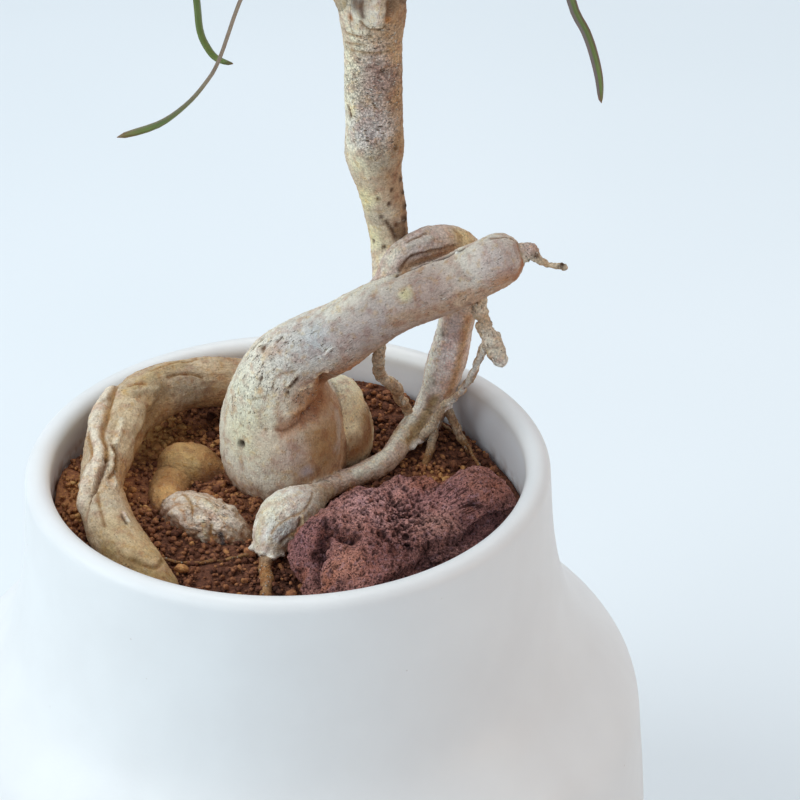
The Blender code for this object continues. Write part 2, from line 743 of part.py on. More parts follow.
def make_leaves():
    """One node for each green shoot with its leaves."""
    taken = points_taken()
    for number, (name, branch, tip) in enumerate(TWIGS):
        start, end = shoot_line(branch, tip)
        others = [shoot_line(*twig[1:]) for twig in TWIGS if twig[0] != name]
        stems = [low.lerp(high, step / STEM_TESTS) for low, high in others for step in range(STEM_TESTS + 1)]
        lines = shoot_leaves(number, taken + [(place, LEAF_CLEAR) for place in stems])
        taken += [(place, LEAF_CLEAR) for line in lines for place in close_points(line)]
        blades = [blade("leaf", line, LEAF_WIDTH) for line in lines]
        for share, points in HANGING_LEAVES.get(name, ()):
            line = [start.lerp(end, share)] + [Vector(place) for place in points]
            blades.append(blade("hanging_leaf", line, HANGING_WIDTH))
        stem = ((*start, SHOOT_ROUND), (*end, SHOOT_TIP))
        shoot = tube("leaves_" + name, stem, TWIG_CORNERS, 1, domed=False)
        combine(shoot, blades, "UNION", "MANIFOLD")
        paint(shoot, "leaves")


clear_scene()
make_pot()
make_soil([*all_roots(GAP), stone_shape("stone_seat", GAP)])
make_stone()
make_plant()
make_leaves()
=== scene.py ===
"""Looks of a euphorbia with bared, twisted roots in a round-shouldered white pot.

Sizes are written in millimetres and multiplied by MM where the geometry is made. The tables of
roots, twigs and leaves are those of the part's own source, so each piece lies where its solid is.
"""

import math
import random
from itertools import product

import bmesh
import bpy
import numpy as np
from mathutils import Matrix, Vector, bvhtree, kdtree, noise


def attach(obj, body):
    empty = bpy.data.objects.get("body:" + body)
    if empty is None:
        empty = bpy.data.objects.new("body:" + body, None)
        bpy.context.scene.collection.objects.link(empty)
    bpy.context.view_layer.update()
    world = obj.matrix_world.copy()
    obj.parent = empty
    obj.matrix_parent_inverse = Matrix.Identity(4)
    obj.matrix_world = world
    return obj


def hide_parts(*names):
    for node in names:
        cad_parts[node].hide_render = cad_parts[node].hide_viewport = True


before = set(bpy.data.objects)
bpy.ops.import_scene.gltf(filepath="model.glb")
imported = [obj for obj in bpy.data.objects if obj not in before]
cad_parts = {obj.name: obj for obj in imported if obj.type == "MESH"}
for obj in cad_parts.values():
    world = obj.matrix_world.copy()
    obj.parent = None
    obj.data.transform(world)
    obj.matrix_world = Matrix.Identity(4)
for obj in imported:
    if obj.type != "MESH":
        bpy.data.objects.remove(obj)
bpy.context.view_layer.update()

MM = 0.001
UP = Vector((0, 0, 1))
EDGE_ANGLE = math.radians(50)
VECTOR_MATH = "ShaderNodeVectorMath"


def tone(red, green, blue):
    """A colour as it shows on a screen, from 0 to 255, in the values that a shader takes."""
    shares = (red / 255, green / 255, blue / 255)
    return (*(((share + 0.055) / 1.055) ** 2.4 for share in shares), 1)


# Camera
PICTURE = 800               # width and height of the picture in pixels
SENSOR = 36
LENS = 135
CAMERA_PITCH = math.radians(30.26)
CAMERA_ROLL = math.radians(-0.38)
CAMERA_AWAY = 571.9         # distance to the centre of the pot's lip, along the view
LIP_CENTRE_AT = (288.3, 468.6)

# Pot
LIP_HEIGHT = 119.6
LIP_RADIUS = 47.6
LIP_ROUND = 2.4
LIP_STEPS = 16
LIP_EDGE = 0.5              # how far below the lip's middle and inside it the pot's inside begins
WALL = 4.8
FLOOR = 6
POT_SEGMENTS = 160
POT_STEPS = 6
POT_RADIUS = 70.4           # where the pot is widest
POT_SIDE = (
    (LIP_RADIUS + LIP_ROUND, LIP_HEIGHT), (50.6, 109.6), (51.2, 103.6), (52.4, 96.6), (54.6, 88.6),
    (57.6, 83), (62.4, 77.6), (66.2, 73.2), (68.2, 68.6), (69, 61), (70.2, 44), (70.4, 26), (69.4, 12),
    (67.4, 4.6), (64.6, 1.2), (62, 0),
)
DRAIN_HOLES = 3
DRAIN_RADIUS = 4
DRAIN_CIRCLE = 22
DRAIN_SEGMENTS = 48
CORNER_STEPS = 6            # steps of the round corner between the pot's inside and its floor
DUST_LEVEL = 110.8          # height up to which soil dust clings to the inside at the right
DUST_AND_SHADE_RISE = 5.5             # how much higher it reaches at the left, where it is partly painted shade
DUST_FADES = 3.2
DUST_AND_SHADE_SHARES = (0.35, 1)     # how thick it is at the right and at the left, where it is partly painted shade
INSIDE_LIGHT_FADES = 2            # depth below the lip at which the inside's whiter, bluer tint, painted light, is full

# Soil
SOIL_LEVEL = 110
SOIL_LUMP = 1.1
SOIL_GRAIN = 9
SOIL_PATTERN = 3.7
SOIL_HEAPS = (              # x, y, rise and reach
    (-44, 8, 4.5, 13), (14, 44, 4.6, 16), (42, 14, -2.8, 13),
)
SOIL_RINGS = 60
SOIL_SEGMENTS = 150
SOIL_GAP = 0.3
FINE_LUMP = 0.5             # height of the soil's finer roughness
FINE_GRAIN = 2.4
FINE_PATTERN = 1.3
FINE_DIP = 0.6              # how far that lies below the grains, in its own heights
SOIL_NECK = 107             # the soil's side ends below this height, and its top lies above it
BED_SHADE = 0.28            # lightness of the soil between the grains
SMALL_GRAINS = 6800
LARGE_GRAINS = 340
GRAIN_SHAPES = 14           # different shapes of grain of each kind
SMALL_GRAIN = (0.32, 0.85)  # smallest and largest radius
LARGE_GRAIN = (0.75, 1.35)
GRAIN_FLAT = ((0.6, 1), (0.45, 0.85))
SMALL_SEED = 3
LARGE_SEED = 8
GRAIN_SHADE = (0.37, 0.15)  # middle and spread of the grains' lightness
GRAIN_LIFT = (-0.1, 0.75)   # how far a grain's middle is from the surface, in its radii
GRAIN_SINKS = (0.3, 0.4)    # how far a grain's middle may lie inside the wood and the stone
SOIL_SHADES = (             # x, y, rise and reach of the lighter and darker places; the second and fourth lift the shade beside the side root and by the left wall, painted light
    (-12, 6, 0.14, 13), (-28.7, 26.9, 0.62, 11), (28.5, 12, 0.3, 5), (-38, 3, 0.5, 8),
    (-34, -3, 0.1, 8), (0.8, -26, -0.12, 7), (-14, -24, -0.05, 9),
)
SOIL_COLOURS = (
    (0, tone(64, 39, 31)),
    (0.30, tone(118, 75, 57)),
    (0.55, tone(166, 110, 76)),
    (0.78, tone(204, 146, 92)),
    (1, tone(224, 176, 114)),
)

# Lava stone
STONE_CENTRE = (20, -17, 114)
STONE_LUMPS = (
    (12.5, -21, 114, 12, 11, 8.2), (24, -10.5, 114.4, 13, 9, 7.8), (34.8, -9.2, 115.4, 8.4, 8, 8.2),
    (15.4, -12.6, 115, 8.6, 7.6, 7.2), (15, -29, 112.6, 12, 10.5, 7), (26.5, -19, 113, 11, 9, 7.2),
)
STONE_FOOT = 108.8
STONE_FACES = 7
STONE_EASE = 6              # times that the creases between its lumps are eased
STONE_ROUGH = 1
STONE_COARSE = (2.1, (5.2, 1.4, 7.9))
STONE_FINE = (4.6, (2.2, 8.1, 0.6))
PORES = 3400
PORE_RADIUS = (0.20, 0.52)
PORE_SEED = 5
STONE_TINTS = (             # dull, bright and rusty
    tone(161, 110, 105), tone(177, 123, 110), tone(168, 104, 78),
)
# strokes: x and y of the pixels along a mark, half its width, its rise, its colour and its lean
# spots: x and y of a pixel, and the reach, rise and colour of a bump, hollow or patch there
STONE_STROKES = (
    ((325, 524, 323, 543, 318, 562, 314, 587), 1.9, -2.3, (96, 58, 56)),
    ((332, 528, 343, 533, 354, 536), 1.6, -1.5, (110, 66, 58)),
    ((381, 531, 392, 539, 398, 547, 396, 554), 1.2, -0.8, (120, 76, 70)),
    ((470, 503, 480, 507), 1, -1.4, (60, 32, 30)),
    ((511, 510, 488, 515, 474, 524, 452, 538, 430, 540, 421, 549, 417, 560, 394, 574), 7, -1.9, None, -1),
)
STONE_SPOTS = (
    (352, 562, 3.4, 0.9, (196, 134, 114)), (348, 537, 1.8, -1, None), (397, 498, 1.3, 0.3, (208, 122, 72)),
    (300, 545, 4, 0.6, (156, 107, 106)), (378, 505, 6, 0.4, (210, 156, 150)),
    # the dull, darker spots over the stone's lower front (at 405, 566 and from 470, 530 on) are painted
    # shade
    (405, 566, 6.5, 0, (141, 91, 86)), (470, 530, 5, 0, (140, 94, 92)), (492, 488, 4, 0.3, (154, 102, 90)),
    (430, 505, 4, -0.6, (172, 120, 116)), (440, 522, 3.6, 0.5, (208, 154, 140)),
    (470, 548, 5, 0, (128, 88, 84)), (438, 562, 5, 0, (132, 90, 84)), (502, 526, 3.5, 0, (122, 82, 80)),
    (408, 580, 4, 0, (140, 94, 86)),
)

# Columns of the table that centre_lines makes
PLACE = slice(0, 3)
RADIUS = 3
RUN = 4
ALONG = slice(5, 8)
SIDE = slice(8, 11)
ACROSS = slice(11, 14)
NUMBER = 14

# Roots, trunk and branches: x, y, z and radius at points along each one
BULB_ROOT = (
    (-1, 15.5, 96, 3), (-1.3, 15, 102, 7), (-1.1, 14.8, 108, 10.7), (-1.4, 15, 115.5, 12.4),
    (-1.8, 15, 122.5, 11.9), (-1.8, 14.5, 128, 10.1), (-0.5, 14, 133, 8.4), (3, 13.5, 137, 7.2),
    (9.5, 12.8, 141.2, 6.6), (14, 12.5, 144.6, 6.1), (20.5, 12, 148.5, 5.6), (31, 11.5, 153.3, 5.3),
    (36.6, 11, 156.6, 5.3), (39.9, 11, 158.3, 5.2),
)
BULB_LOBE = ((3, 18, 107, 6), (7.4, 20.5, 112.5, 8), (8.2, 21, 117, 8.1), (8.2, 21, 121.2, 6.3))
ARCH_ROOT = (
    (15, 13, 147, 2.5), (18.7, 15, 151, 2.6), (21.2, 16.8, 155.2, 3), (25, 19, 156.9, 3.3),
    (28.6, 21.5, 156.6, 3.5), (32.2, 24, 154.9, 3.5), (34.8, 26, 151.4, 3.3), (35, 27, 147, 3.1),
    (32.4, 28, 135.2, 3.4), (30.6, 28.5, 126.6, 3.9), (28.5, 28.3, 119, 3.3), (26, 27, 112.5, 3),
    (24, 25, 104, 2.2), (22, 22, 94, 1.2),
)
TRUNK = (
    (20, 14, 146.5, 3.3), (19.8, 17.5, 149.5, 3.4), (19.6, 20.5, 153.5, 3.5), (19.4, 22, 158.5, 3.8),
    (18.6, 22, 164.5, 4.1), (17.7, 22, 169.5, 4.5), (17, 22, 173, 5.1), (16.9, 22, 176, 5.7),
    (16.9, 22, 181.5, 5.4), (16.9, 22, 191.5, 5.4), (16.8, 22, 198.5, 5.6), (16.8, 22, 204.5, 6.3),
    (16.8, 22, 209.5, 5.8),
)
SIDE_ROOT = (
    (4, 26, 106, 3), (-1, 31.5, 112, 4.2), (-6, 35, 115.8, 4.8), (-11, 35.4, 118.2, 5),
    (-20.6, 32.6, 119.7, 5), (-27.4, 26.6, 120.6, 5.5), (-31.4, 20.2, 120.8, 5.4),
    (-33.5, 13.8, 120.2, 5.6), (-35.2, 6, 118.3, 4.8), (-35.7, 0.5, 117.2, 4.2),
    (-35.2, -4.6, 116, 4.4), (-33.2, -12, 114.6, 4.8), (-30, -18.2, 113.2, 4.9),
    (-26.6, -22.8, 111.6, 4.4), (-23, -26.6, 109.4, 3.6), (-18, -29.6, 103, 2),
)
BROWN_TUBER = (
    (-5, 15, 103, 4), (-13, 16, 106.5, 3.4), (-18.6, 16.2, 109.2, 5.2), (-21.6, 15.4, 110.5, 5),
)
TUBER_NECK = (
    (-21.8, 15, 109.4, 4), (-24, 9, 109.2, 3.9), (-23.4, 3, 109.4, 3.8), (-20.6, -2, 109.4, 3.4),
)
GREY_TUBER = (
    (-23.6, 1.5, 108.5, 2.8), (-20.4, -1.6, 110.6, 4.2), (-16, -4.9, 111.2, 4.7),
    (-11.6, -7.6, 110.6, 4.1), (-8, -9, 108.6, 2.6),
)
SMALL_BULB = (
    (7, 4.2, 112.1, 1.9), (4.4, -1, 113.4, 3), (2.2, -5.4, 114, 4.8), (-0.2, -9.2, 114, 5.5),
    (-2.2, -12.8, 113.2, 4.5), (-3.2, -15.4, 112, 3.2), (-3.5, -17.2, 110.6, 1.6),
)
LEG_ROOT = (
    (27, 27, 115.5, 2.9), (22.4, 22.4, 113.2, 2.5), (20.1, 17, 112.6, 2.3), (17.6, 13.3, 112.1, 2.3),
    (13.9, 10.6, 111.8, 2.1), (10.2, 7.9, 111.8, 1.9), (7, 4.2, 112.1, 1.9),
)
THIN_ROOTS = (
    ((17.4, 12.6, 142, 1.6), (17.5, 13.6, 137, 1.2), (17.3, 15, 133.6, 1.1), (18, 18, 129.2, 1),
     (20.2, 21.8, 125.2, 1.2), (21.6, 24.2, 120.6, 1), (23.4, 26, 115.6, 1.1)),
    ((37.2, 11.2, 154.2, 1.9), (36.6, 10.6, 149.4, 1.5), (37.2, 10.2, 145.4, 1.5), (38.8, 9.6, 141.6, 1.7),
     (40.6, 9.2, 138, 1.4)),
    ((38.2, 9.8, 142.4, 1), (36.9, 12, 137.4, 0.8), (34.8, 16, 129.6, 0.7), (33, 19.2, 124.6, 0.7),
     (29.6, 21.8, 120, 0.8), (27.6, 22.2, 115.6, 0.9), (23.6, 22.6, 111.6, 0.9)),
    ((43, 11, 158.8, 1.8), (45.6, 10.5, 160.2, 1.7), (47.2, 10, 159, 0.9), (49.2, 9.4, 158.2, 0.6),
     (52.2, 8.5, 157.8, 0.6)),
    ((30, 28, 119, 1.4), (32, 25.6, 114.6, 0.9), (34.4, 23.6, 110.2, 0.8), (36.4, 20.6, 106, 0.7)),
    ((28.4, 26.8, 115.6, 1.2), (27.4, 21, 111.6, 0.8), (26, 17, 108.8, 0.7), (25, 14.6, 105.6, 0.6)),
    ((-3.4, -15.6, 111.2, 1.3), (-3.8, -20, 110.8, 1.3), (-3.6, -26, 110.6, 1.3),
     (-3.2, -33, 108, 1.1)),
)
BURIED_ROOTS = (
    ((-1, 15.5, 101, 4), (-6, 12, 86, 2.6), (-8, 6, 68, 1.2)),
    ((-1, 15.5, 101, 4), (6, 12, 88, 2.6), (12, 4, 72, 1.2)),
    ((-1, 15.5, 101, 4), (-2, 24, 86, 2.4), (2, 32, 66, 1.2)),
)
SPUR = ((15.6, 19, 203, 3.2), (15.7, 16.4, 208.5, 2.4), (15.9, 14.8, 214, 1.2))
LEFT_BRANCH = ((15.5, 22, 205, 4.8), (10.6, 22, 214, 4.2), (3.6, 20.5, 223.4, 3.5), (-3, 18, 233, 3))
RIGHT_BRANCH = ((18, 22, 206, 4.8), (22, 22, 214.5, 4.2), (29.6, 20.2, 222.4, 3.5), (36, 18, 230, 3))
BACK_BRANCH = ((17, 24, 204, 4.6), (17.5, 29, 214, 4), (18.5, 35, 226, 3.4), (18.5, 40, 238, 3))
TOP_BRANCH = ((17, 21.5, 205, 4.6), (17.5, 20.5, 222, 3.8), (15.5, 19.5, 240, 3.2), (17, 18.5, 256, 2.8))
BRANCHES = (LEFT_BRANCH, RIGHT_BRANCH, BACK_BRANCH, TOP_BRANCH)
TWIG_ROUND = 1.9
TWIG_TIP = 1.5
TWIG_ROOT = 0.25
TWIG_SAG = 0.12
TWIGS = (
    ("left", 0, (-7.5, 12.5, 245)),
    ("far_left", 0, (-24, 26, 250)),
    ("left_back", 0, (-4, 34, 256)),
    ("right", 1, (42, 12.5, 243)),
    ("right_back", 1, (50, 32, 254)),
    ("back", 2, (5, 56, 255)),
    ("back_right", 2, (30, 56, 258)),
    ("top", 3, (6, 14, 276)),
    ("top_right", 3, (30, 16, 276)),
)
ROOTS = (                   # points of each root and the kind of bark on it
    (BULB_ROOT, "bulb"),
    (BULB_LOBE, "lobe"),
    (ARCH_ROOT, "root"),
    (SIDE_ROOT, "side"),
    (BROWN_TUBER, "brown"),
    (TUBER_NECK, "brown"),
    (GREY_TUBER, "grey"),
    (SMALL_BULB, "small"),
    (LEG_ROOT, "root"),
)
STEMS = (
    (TRUNK, "trunk"),
    (SPUR, "spur"),
    *((points, "branch") for points in BRANCHES),
)
# height of lumps, wrinkles, cracks, rings and scales, and depth of the grain's shade
BARK = {
    "bulb": (0.30, 0.10, 0.00, 0.00, 0.00, 0.55),
    "lobe": (0.46, 0.12, 0.00, 0.00, 0.00, 1.10),
    "root": (0.30, 0.13, 0.02, 0.00, 0.00, 1.90),
    "side": (0.28, 0.12, 0.05, 0.00, 0.08, 1.10),
    "brown": (0.36, 0.10, 0.00, 0.06, 0.06, 0.70),
    "grey": (0.50, 0.20, 0.06, 0.00, 0.70, 0.90),
    "small": (0.30, 0.12, 0.05, 0.00, 0.20, 0.80),
    "trunk": (0.20, 0.10, 0.00, 0.03, 0.00, 1.60),
    "branch": (0.26, 0.10, 0.04, 0.14, 0.00, 1.30),
    "spur": (0.08, 0.03, 0.00, 0.00, 0.00, 0.40),
}
GRAIN_BELOW = 0.20          # share of that depth where the bark is not scaly
GRIT = 0.09                 # height of the bark's fine roughness
SCALE_CLOSE = (0.28, 0.46)  # closeness of the bark's scales along a root and across it
SCALE_SEED = 1              # sets how the scales' rims bend, the same in every run
TINTS = {                   # colour of the weathered side that faces the light and of the side turned from it; the gap between them is partly painted light and shade
    "bulb": (tone(238, 230, 211), tone(200, 166, 136)),
    # the lobe's near-white tints lift the shade it lies in: painted light
    "lobe": (tone(255, 250, 222), tone(254, 238, 198)),
    "root": (tone(222, 202, 187), tone(214, 187, 164)),
    "side": (tone(202, 179, 148), tone(188, 149, 106)),
    "brown": (tone(218, 172, 114), tone(172, 126, 78)),
    "grey": (tone(228, 210, 190), tone(174, 142, 112)),
    "small": (tone(244, 238, 226), tone(216, 192, 162)),
    "trunk": (tone(244, 232, 206), tone(184, 150, 118)),
    "branch": (tone(210, 194, 164), tone(160, 132, 104)),
    "spur": (tone(230, 222, 208), tone(196, 174, 150)),
}
# way that the paler, weathered side faces; it lies along the light, so the paleness is partly painted light
WEATHERED_AND_LIT = Vector((-0.62, -0.22, 0.75))
LENGTHWISE = (0.36, 1.8)    # closeness of the bark's dashes along a root and across it
ROUND_ABOUT = (1.7, 0.55)   # and on the trunk, where they run round it
PATTERN_STEP = 17           # sets the pattern on each root off from the next one's
BROWN_LINE = (172, 132, 82)
DARK_LINE = (122, 90, 62)
CREAM = (226, 212, 184)
ROOT_STROKES = (
    # edges of the root by the wall, where the inner one steps in
    ((166, 398, 160, 412, 154, 428, 140, 446), 4, -1.5, None),
    ((118, 392, 128, 400, 134, 414, 132, 432, 124, 448), 4.2, 0.5, (214, 192, 158)),
    ((150, 398, 151, 412, 147, 428, 138, 440), 1, -0.3, (196, 160, 116)),
    # ridges and the edges of peeled layers on it
    ((98, 402, 91, 412, 88, 426, 90, 439, 92, 452), 1.1, 0.7, (214, 188, 150)),
    ((112, 394, 103, 405, 97, 420, 97, 437, 101, 452, 97, 466, 90, 478, 86, 490, 83, 504), 3, 1.3,
     (230, 216, 194)),
    ((121, 421, 117, 440, 112, 456, 112, 472, 115, 487), 1, 0.7, CREAM),
    ((94, 408, 91, 420, 91, 436, 93, 452, 91, 463), 0.6, -0.6, BROWN_LINE),
    ((118, 391, 111, 404, 107, 420, 103, 436, 106, 450, 106, 461), 0.7, -0.9, BROWN_LINE),
    ((106, 461, 103, 472, 96, 487, 92, 500, 89, 515, 89, 531, 91, 546), 0.7, -0.9, DARK_LINE),
    ((92, 500, 89, 515, 89, 531, 91, 546), 3, 0.7, None, -1),
    ((98, 493, 100, 508, 105, 527), 0.5, -0.4, (160, 128, 90)),
    ((113, 448, 116, 460, 115, 470, 110, 478), 0.7, -0.7, (150, 114, 72)),
    ((122, 514, 124, 518, 127, 523), 0.45, -0.4, (124, 108, 88)),
    ((124, 512, 127, 517, 129, 521), 0.45, 0.3, (236, 228, 212)),
    ((131, 560, 143, 565, 156, 567, 163, 560), 0.7, -0.5, (146, 116, 74)),
    ((104, 550, 124, 562, 150, 574, 172, 580), 2.4, 0, (178, 150, 104)),
    # its back, behind the bulb
    ((128, 394, 140, 384, 158, 372, 180, 363, 204, 357), 2, 0.5, (202, 176, 134)),
    ((131, 396, 146, 390, 160, 389), 1, 0.4, (206, 184, 150)),
    ((168, 377, 180, 374, 192, 374, 202, 377), 0.5, -0.4, (150, 116, 78)),
    ((151, 373, 160, 369, 176, 364, 197, 359), 0.5, -0.4, BROWN_LINE),
    ((130, 388, 138, 385, 145, 385), 0.5, -0.4, BROWN_LINE),
    # tuber with a scaly skin
    ((211, 525, 210, 535, 215, 538), 0.5, -0.4, BROWN_LINE),
    ((204, 523, 206, 536), 0.6, 0.4, (232, 222, 186)),
    ((184, 494, 191, 504, 193, 514), 0.5, -0.4, BROWN_LINE),
    ((220, 534, 224, 546), 0.8, -0.3, (98, 92, 94)),
    ((196, 499, 206, 502, 218, 511), 0.9, 0.4, CREAM),
    ((200, 536, 208, 545, 206, 553), 0.7, 0.3, (226, 214, 194)),
    # small bulb with cracked skin and a ragged lower end
    ((313, 492, 309, 504, 302, 512, 291, 517, 277, 526, 271, 534), 0.4, -0.2, (176, 144, 110)),
    ((302, 512, 291, 517, 277, 526, 271, 534), 2.2, 0.25, None, -1),
    ((434, 400, 426, 414, 419, 427, 409, 440), 1.5, -0.2, (178, 152, 112)),
    ((449, 404, 441, 410, 435, 423, 430, 434, 420, 439, 410, 448), 0.85, 1, (255, 252, 242)),
    ((300, 520, 298, 530, 286, 538, 281, 543), 0.6, -0.5, (150, 124, 98)),
    ((302, 516, 301, 527, 290, 536), 0.4, 0.4, (230, 204, 160)),
    ((254, 545, 262, 551, 271, 556, 281, 555), 1, 0.7, (240, 232, 216)),
    ((263, 520, 258, 532, 258, 544), 1.4, 0.3, (226, 214, 188)),
    # brown foot of the lobe behind the bulb, partly painted shade where it lies in shadow
    ((370, 422, 370, 432, 365, 443, 353, 453), 4.6, 0, (158, 118, 82)),
    # fold where the bulb curls in under the front root; its dark lines along the overhang's edge are painted
    # shade
    ((324, 378, 321, 392, 316, 404, 307, 414), 2.6, -1.4, (186, 136, 98)),
    ((310, 413, 298, 423, 286, 430), 2.6, -0.6, (196, 152, 122)),
    ((323, 377, 320.5, 389, 317, 400), 0.6, -0.4, (110, 64, 40)),
    ((317, 400, 311, 411, 300, 422, 286, 431, 277, 430), 0.5, -0.2, (150, 114, 88)),
    ((318, 384, 314, 398, 305, 408, 294, 414), 1.3, 0.8, (190, 142, 104)),
    ((301, 389, 306, 386.5, 312, 385), 0.5, 0.5, (236, 214, 182)),
    ((316.5, 378, 322, 374.5, 328, 371.5), 0.6, 0.6, (236, 216, 184)),
    ((290, 387, 294, 383, 297, 379), 0.45, -0.4, (104, 80, 62)),
    ((287, 386, 292, 381, 296, 375), 0.4, 0.5, (234, 224, 204)),
    ((273, 391, 273.5, 383, 277, 376, 286, 373, 295, 371.5), 0.35, -0.1, (186, 168, 146)),
    ((252, 399.5, 261, 397.5, 269, 394.5), 0.35, -0.1, (190, 174, 146)),
    ((278, 342, 282, 338), 0.45, -0.5, (96, 74, 50)),
    ((253, 348, 259, 342, 263, 339), 0.5, -0.4, (130, 106, 74)),
    ((324, 355.5, 328, 351, 332, 347.5), 0.4, 0.5, (246, 242, 232)),
    ((319, 356, 322, 359), 0.4, 0.4, (244, 240, 230)),
    ((260, 381, 262, 377), 0.4, -0.4, (110, 86, 60)),
    ((232, 397, 232, 402), 0.45, -0.4, (116, 92, 64)),
    ((338, 412, 340, 430, 337, 450), 1.4, 0.1, (206, 186, 166)),
    # painted shade in the seam between the arched root and the front root and in the band below it, and
    # folds along the arch
    ((397, 275, 407, 270, 418, 266, 431, 261, 445, 257, 455, 252, 463, 248), 0.7, -0.4, (70, 54, 46)),
    ((397, 274, 403, 266, 412, 256, 430, 251.5, 455, 245.5), 0.5, -0.4, (122, 94, 72)),
    ((403, 271, 414, 263, 431, 257, 452, 249), 1.2, 0, (176, 136, 104)),
    ((407, 242, 413, 238.5, 418.5, 236.5, 425, 233), 0.45, -0.25, (136, 112, 92)),
    ((410, 246, 420, 241, 432, 238), 0.9, 0.4, (214, 202, 190)),
    ((455, 230, 460, 238, 458, 246), 0.9, -0.1, (186, 158, 122)),
    ((386, 268, 390, 256, 397, 246), 1.6, 0, (230, 220, 200)),
    # round tip of the front root
    ((490, 238, 500, 237, 512, 238, 519, 245), 0.4, -0.2, (140, 112, 88)),
    ((462, 300, 480, 294, 496, 289, 510, 283), 2.4, 0, (198, 162, 134)),
    ((519, 246, 523, 256, 522, 268, 516, 278), 1.2, 0, (178, 122, 86)),
    ((396, 322, 410, 317, 436, 311, 462, 299), 2.2, 0, (196, 164, 138)),
    ((336, 373, 347, 369, 358, 362, 372, 353), 1.3, 0.3, (196, 148, 110)),
    ((455, 303, 462, 302, 468, 297), 0.4, 0.5, (214, 180, 150)),
    # leg of the arched root: pale at the left, a painted highlight where the light from the left falls,
    # brown at the right
    ((440, 320, 436, 338, 432, 356, 428, 376, 420, 400, 408, 418), 2, 0.2, (255, 252, 238)),
    ((468, 318, 463, 345, 457, 370, 449, 394), 1.5, 0, (206, 166, 128)),
    ((408, 418, 400, 434, 388, 450, 374, 464, 356, 474), 1.6, 0.2, (246, 240, 220)),
)
ROOT_SPOTS = (
    (318, 396, 3, 0, (192, 140, 98)), (271, 352, 1.2, 0.2, (206, 160, 112)),
    (260, 390, 0.6, 0, (206, 164, 112)), (256.5, 418, 0.4, -0.3, (150, 104, 48)),
    (322, 446, 5, 0, (188, 150, 108)), (366, 408, 1.3, 0.5, (236, 222, 190)),
    (300, 345, 6, 0, (214, 207, 198)), (320, 341, 3, 0, (206, 206, 204)),
    (246, 430, 5, 0, (238, 232, 200)), (238, 395, 4, 0, (240, 236, 212)),
    (350, 338, 4, 0, (196, 181, 173)), (380, 320, 5, 0, (190, 174, 166)),
    (430, 292, 6, 0, (184, 160, 148)), (500, 262, 5, 0, (202, 186, 178)),
    (405, 294, 1.1, 0, (216, 204, 160)), (440, 318, 3, 0, (190, 150, 118)),
    (505, 284, 2.6, 0, (186, 134, 98)), (462, 236, 1.9, 0, (222, 200, 156)),
    (470, 240, 1.9, 0, (222, 200, 156)), (425, 245, 4, 0, (216, 198, 188)),
    # the two near-white spots on the arched root's leg lift the shade it lies in: painted light
    (448, 350, 3.6, 0, (252, 238, 234)), (440, 376, 3.6, 0, (250, 236, 228)),
    (455, 328, 2.2, 0, (212, 192, 186)), (307, 472, 1.2, 0, (186, 170, 172)),
    (290, 455, 3, 0, (206, 184, 170)), (268, 440, 3, 0, (226, 210, 186)),
    (255, 548, 0.6, 0.8, (244, 238, 226)), (259.5, 551, 0.6, 0.5, (238, 230, 216)),
    (264, 553, 0.55, 0.9, (246, 240, 230)), (268, 556, 0.6, 0.6, (240, 232, 220)),
    (272, 557, 0.55, 1, (244, 238, 228)), (277, 555, 0.6, 0.6, (236, 226, 210)),
    (281, 553, 0.55, 0.9, (240, 232, 220)), (441, 334, 0.8, -0.3, (120, 104, 88)),
    (432, 381, 0.8, -0.2, (140, 120, 104)), (405, 430, 3, 0, (206, 178, 136)),
    (168, 470, 4.5, 0, (186, 142, 92)), (174, 455, 2.2, 0.2, (216, 176, 118)),
    (191, 464, 1.8, 0.2, (206, 172, 120)), (103, 505, 3, 0, (202, 186, 160)),
    (284, 528, 2.4, 0, (222, 224, 218)), (270, 506, 3, 0, (234, 228, 206)),
    (150, 545, 4, 0, (206, 178, 132)), (118, 530, 4, 0, (204, 180, 142)),
    (190, 388, 3.6, 0, (186, 166, 142)), (122, 430, 4, 0, (196, 172, 138)),
    (241, 444, 0.7, -0.9, (66, 54, 44)), (241, 443, 0.35, 0.3, (150, 140, 124)),
    (263, 348, 0.6, -0.4, (120, 92, 66)), (287.5, 393, 0.4, -0.5, (86, 62, 44)),
    (285.5, 394, 0.35, 0.5, (240, 212, 170)), (457, 253, 0.35, 0.6, (240, 238, 232)),
    (432, 261, 0.35, 0.6, (240, 238, 232)), (463, 257, 0.35, 0.5, (236, 226, 214)),
    (460, 302, 0.4, 0.5, (226, 206, 190)), (487, 291, 0.5, 0.4, (90, 64, 46)),
)
TRUNK_STROKES = (
    ((346, 33, 352, 35, 361, 37), 0.4, -0.25, (170, 136, 98)),
    ((345, 47, 360, 52, 378, 53, 394, 50), 0.45, -0.2, (184, 156, 122)),
    ((345, 42, 356, 44, 366, 46), 0.35, -0.15, (180, 148, 110)),
    ((361, 22, 365, 27, 372, 30, 380, 30, 386, 26), 0.4, -0.3, (160, 128, 94)),
    ((349, 108, 351, 112, 350, 117), 0.6, -0.4, (120, 96, 66)),
    ((386, 222, 392, 230, 396, 238), 0.6, -0.4, (104, 80, 62)),
    ((377, -6, 376, 4, 375, 14, 374, 22), 1.5, 0.9, (252, 242, 224)),
    # painted shade between the stub and the branches on either side of it
    ((362, 2, 361, 10, 363, 18), 0.7, -0.3, (120, 98, 82)),
    ((389, 2, 389, 10, 387, 17), 0.7, -0.3, (132, 100, 74)),
)
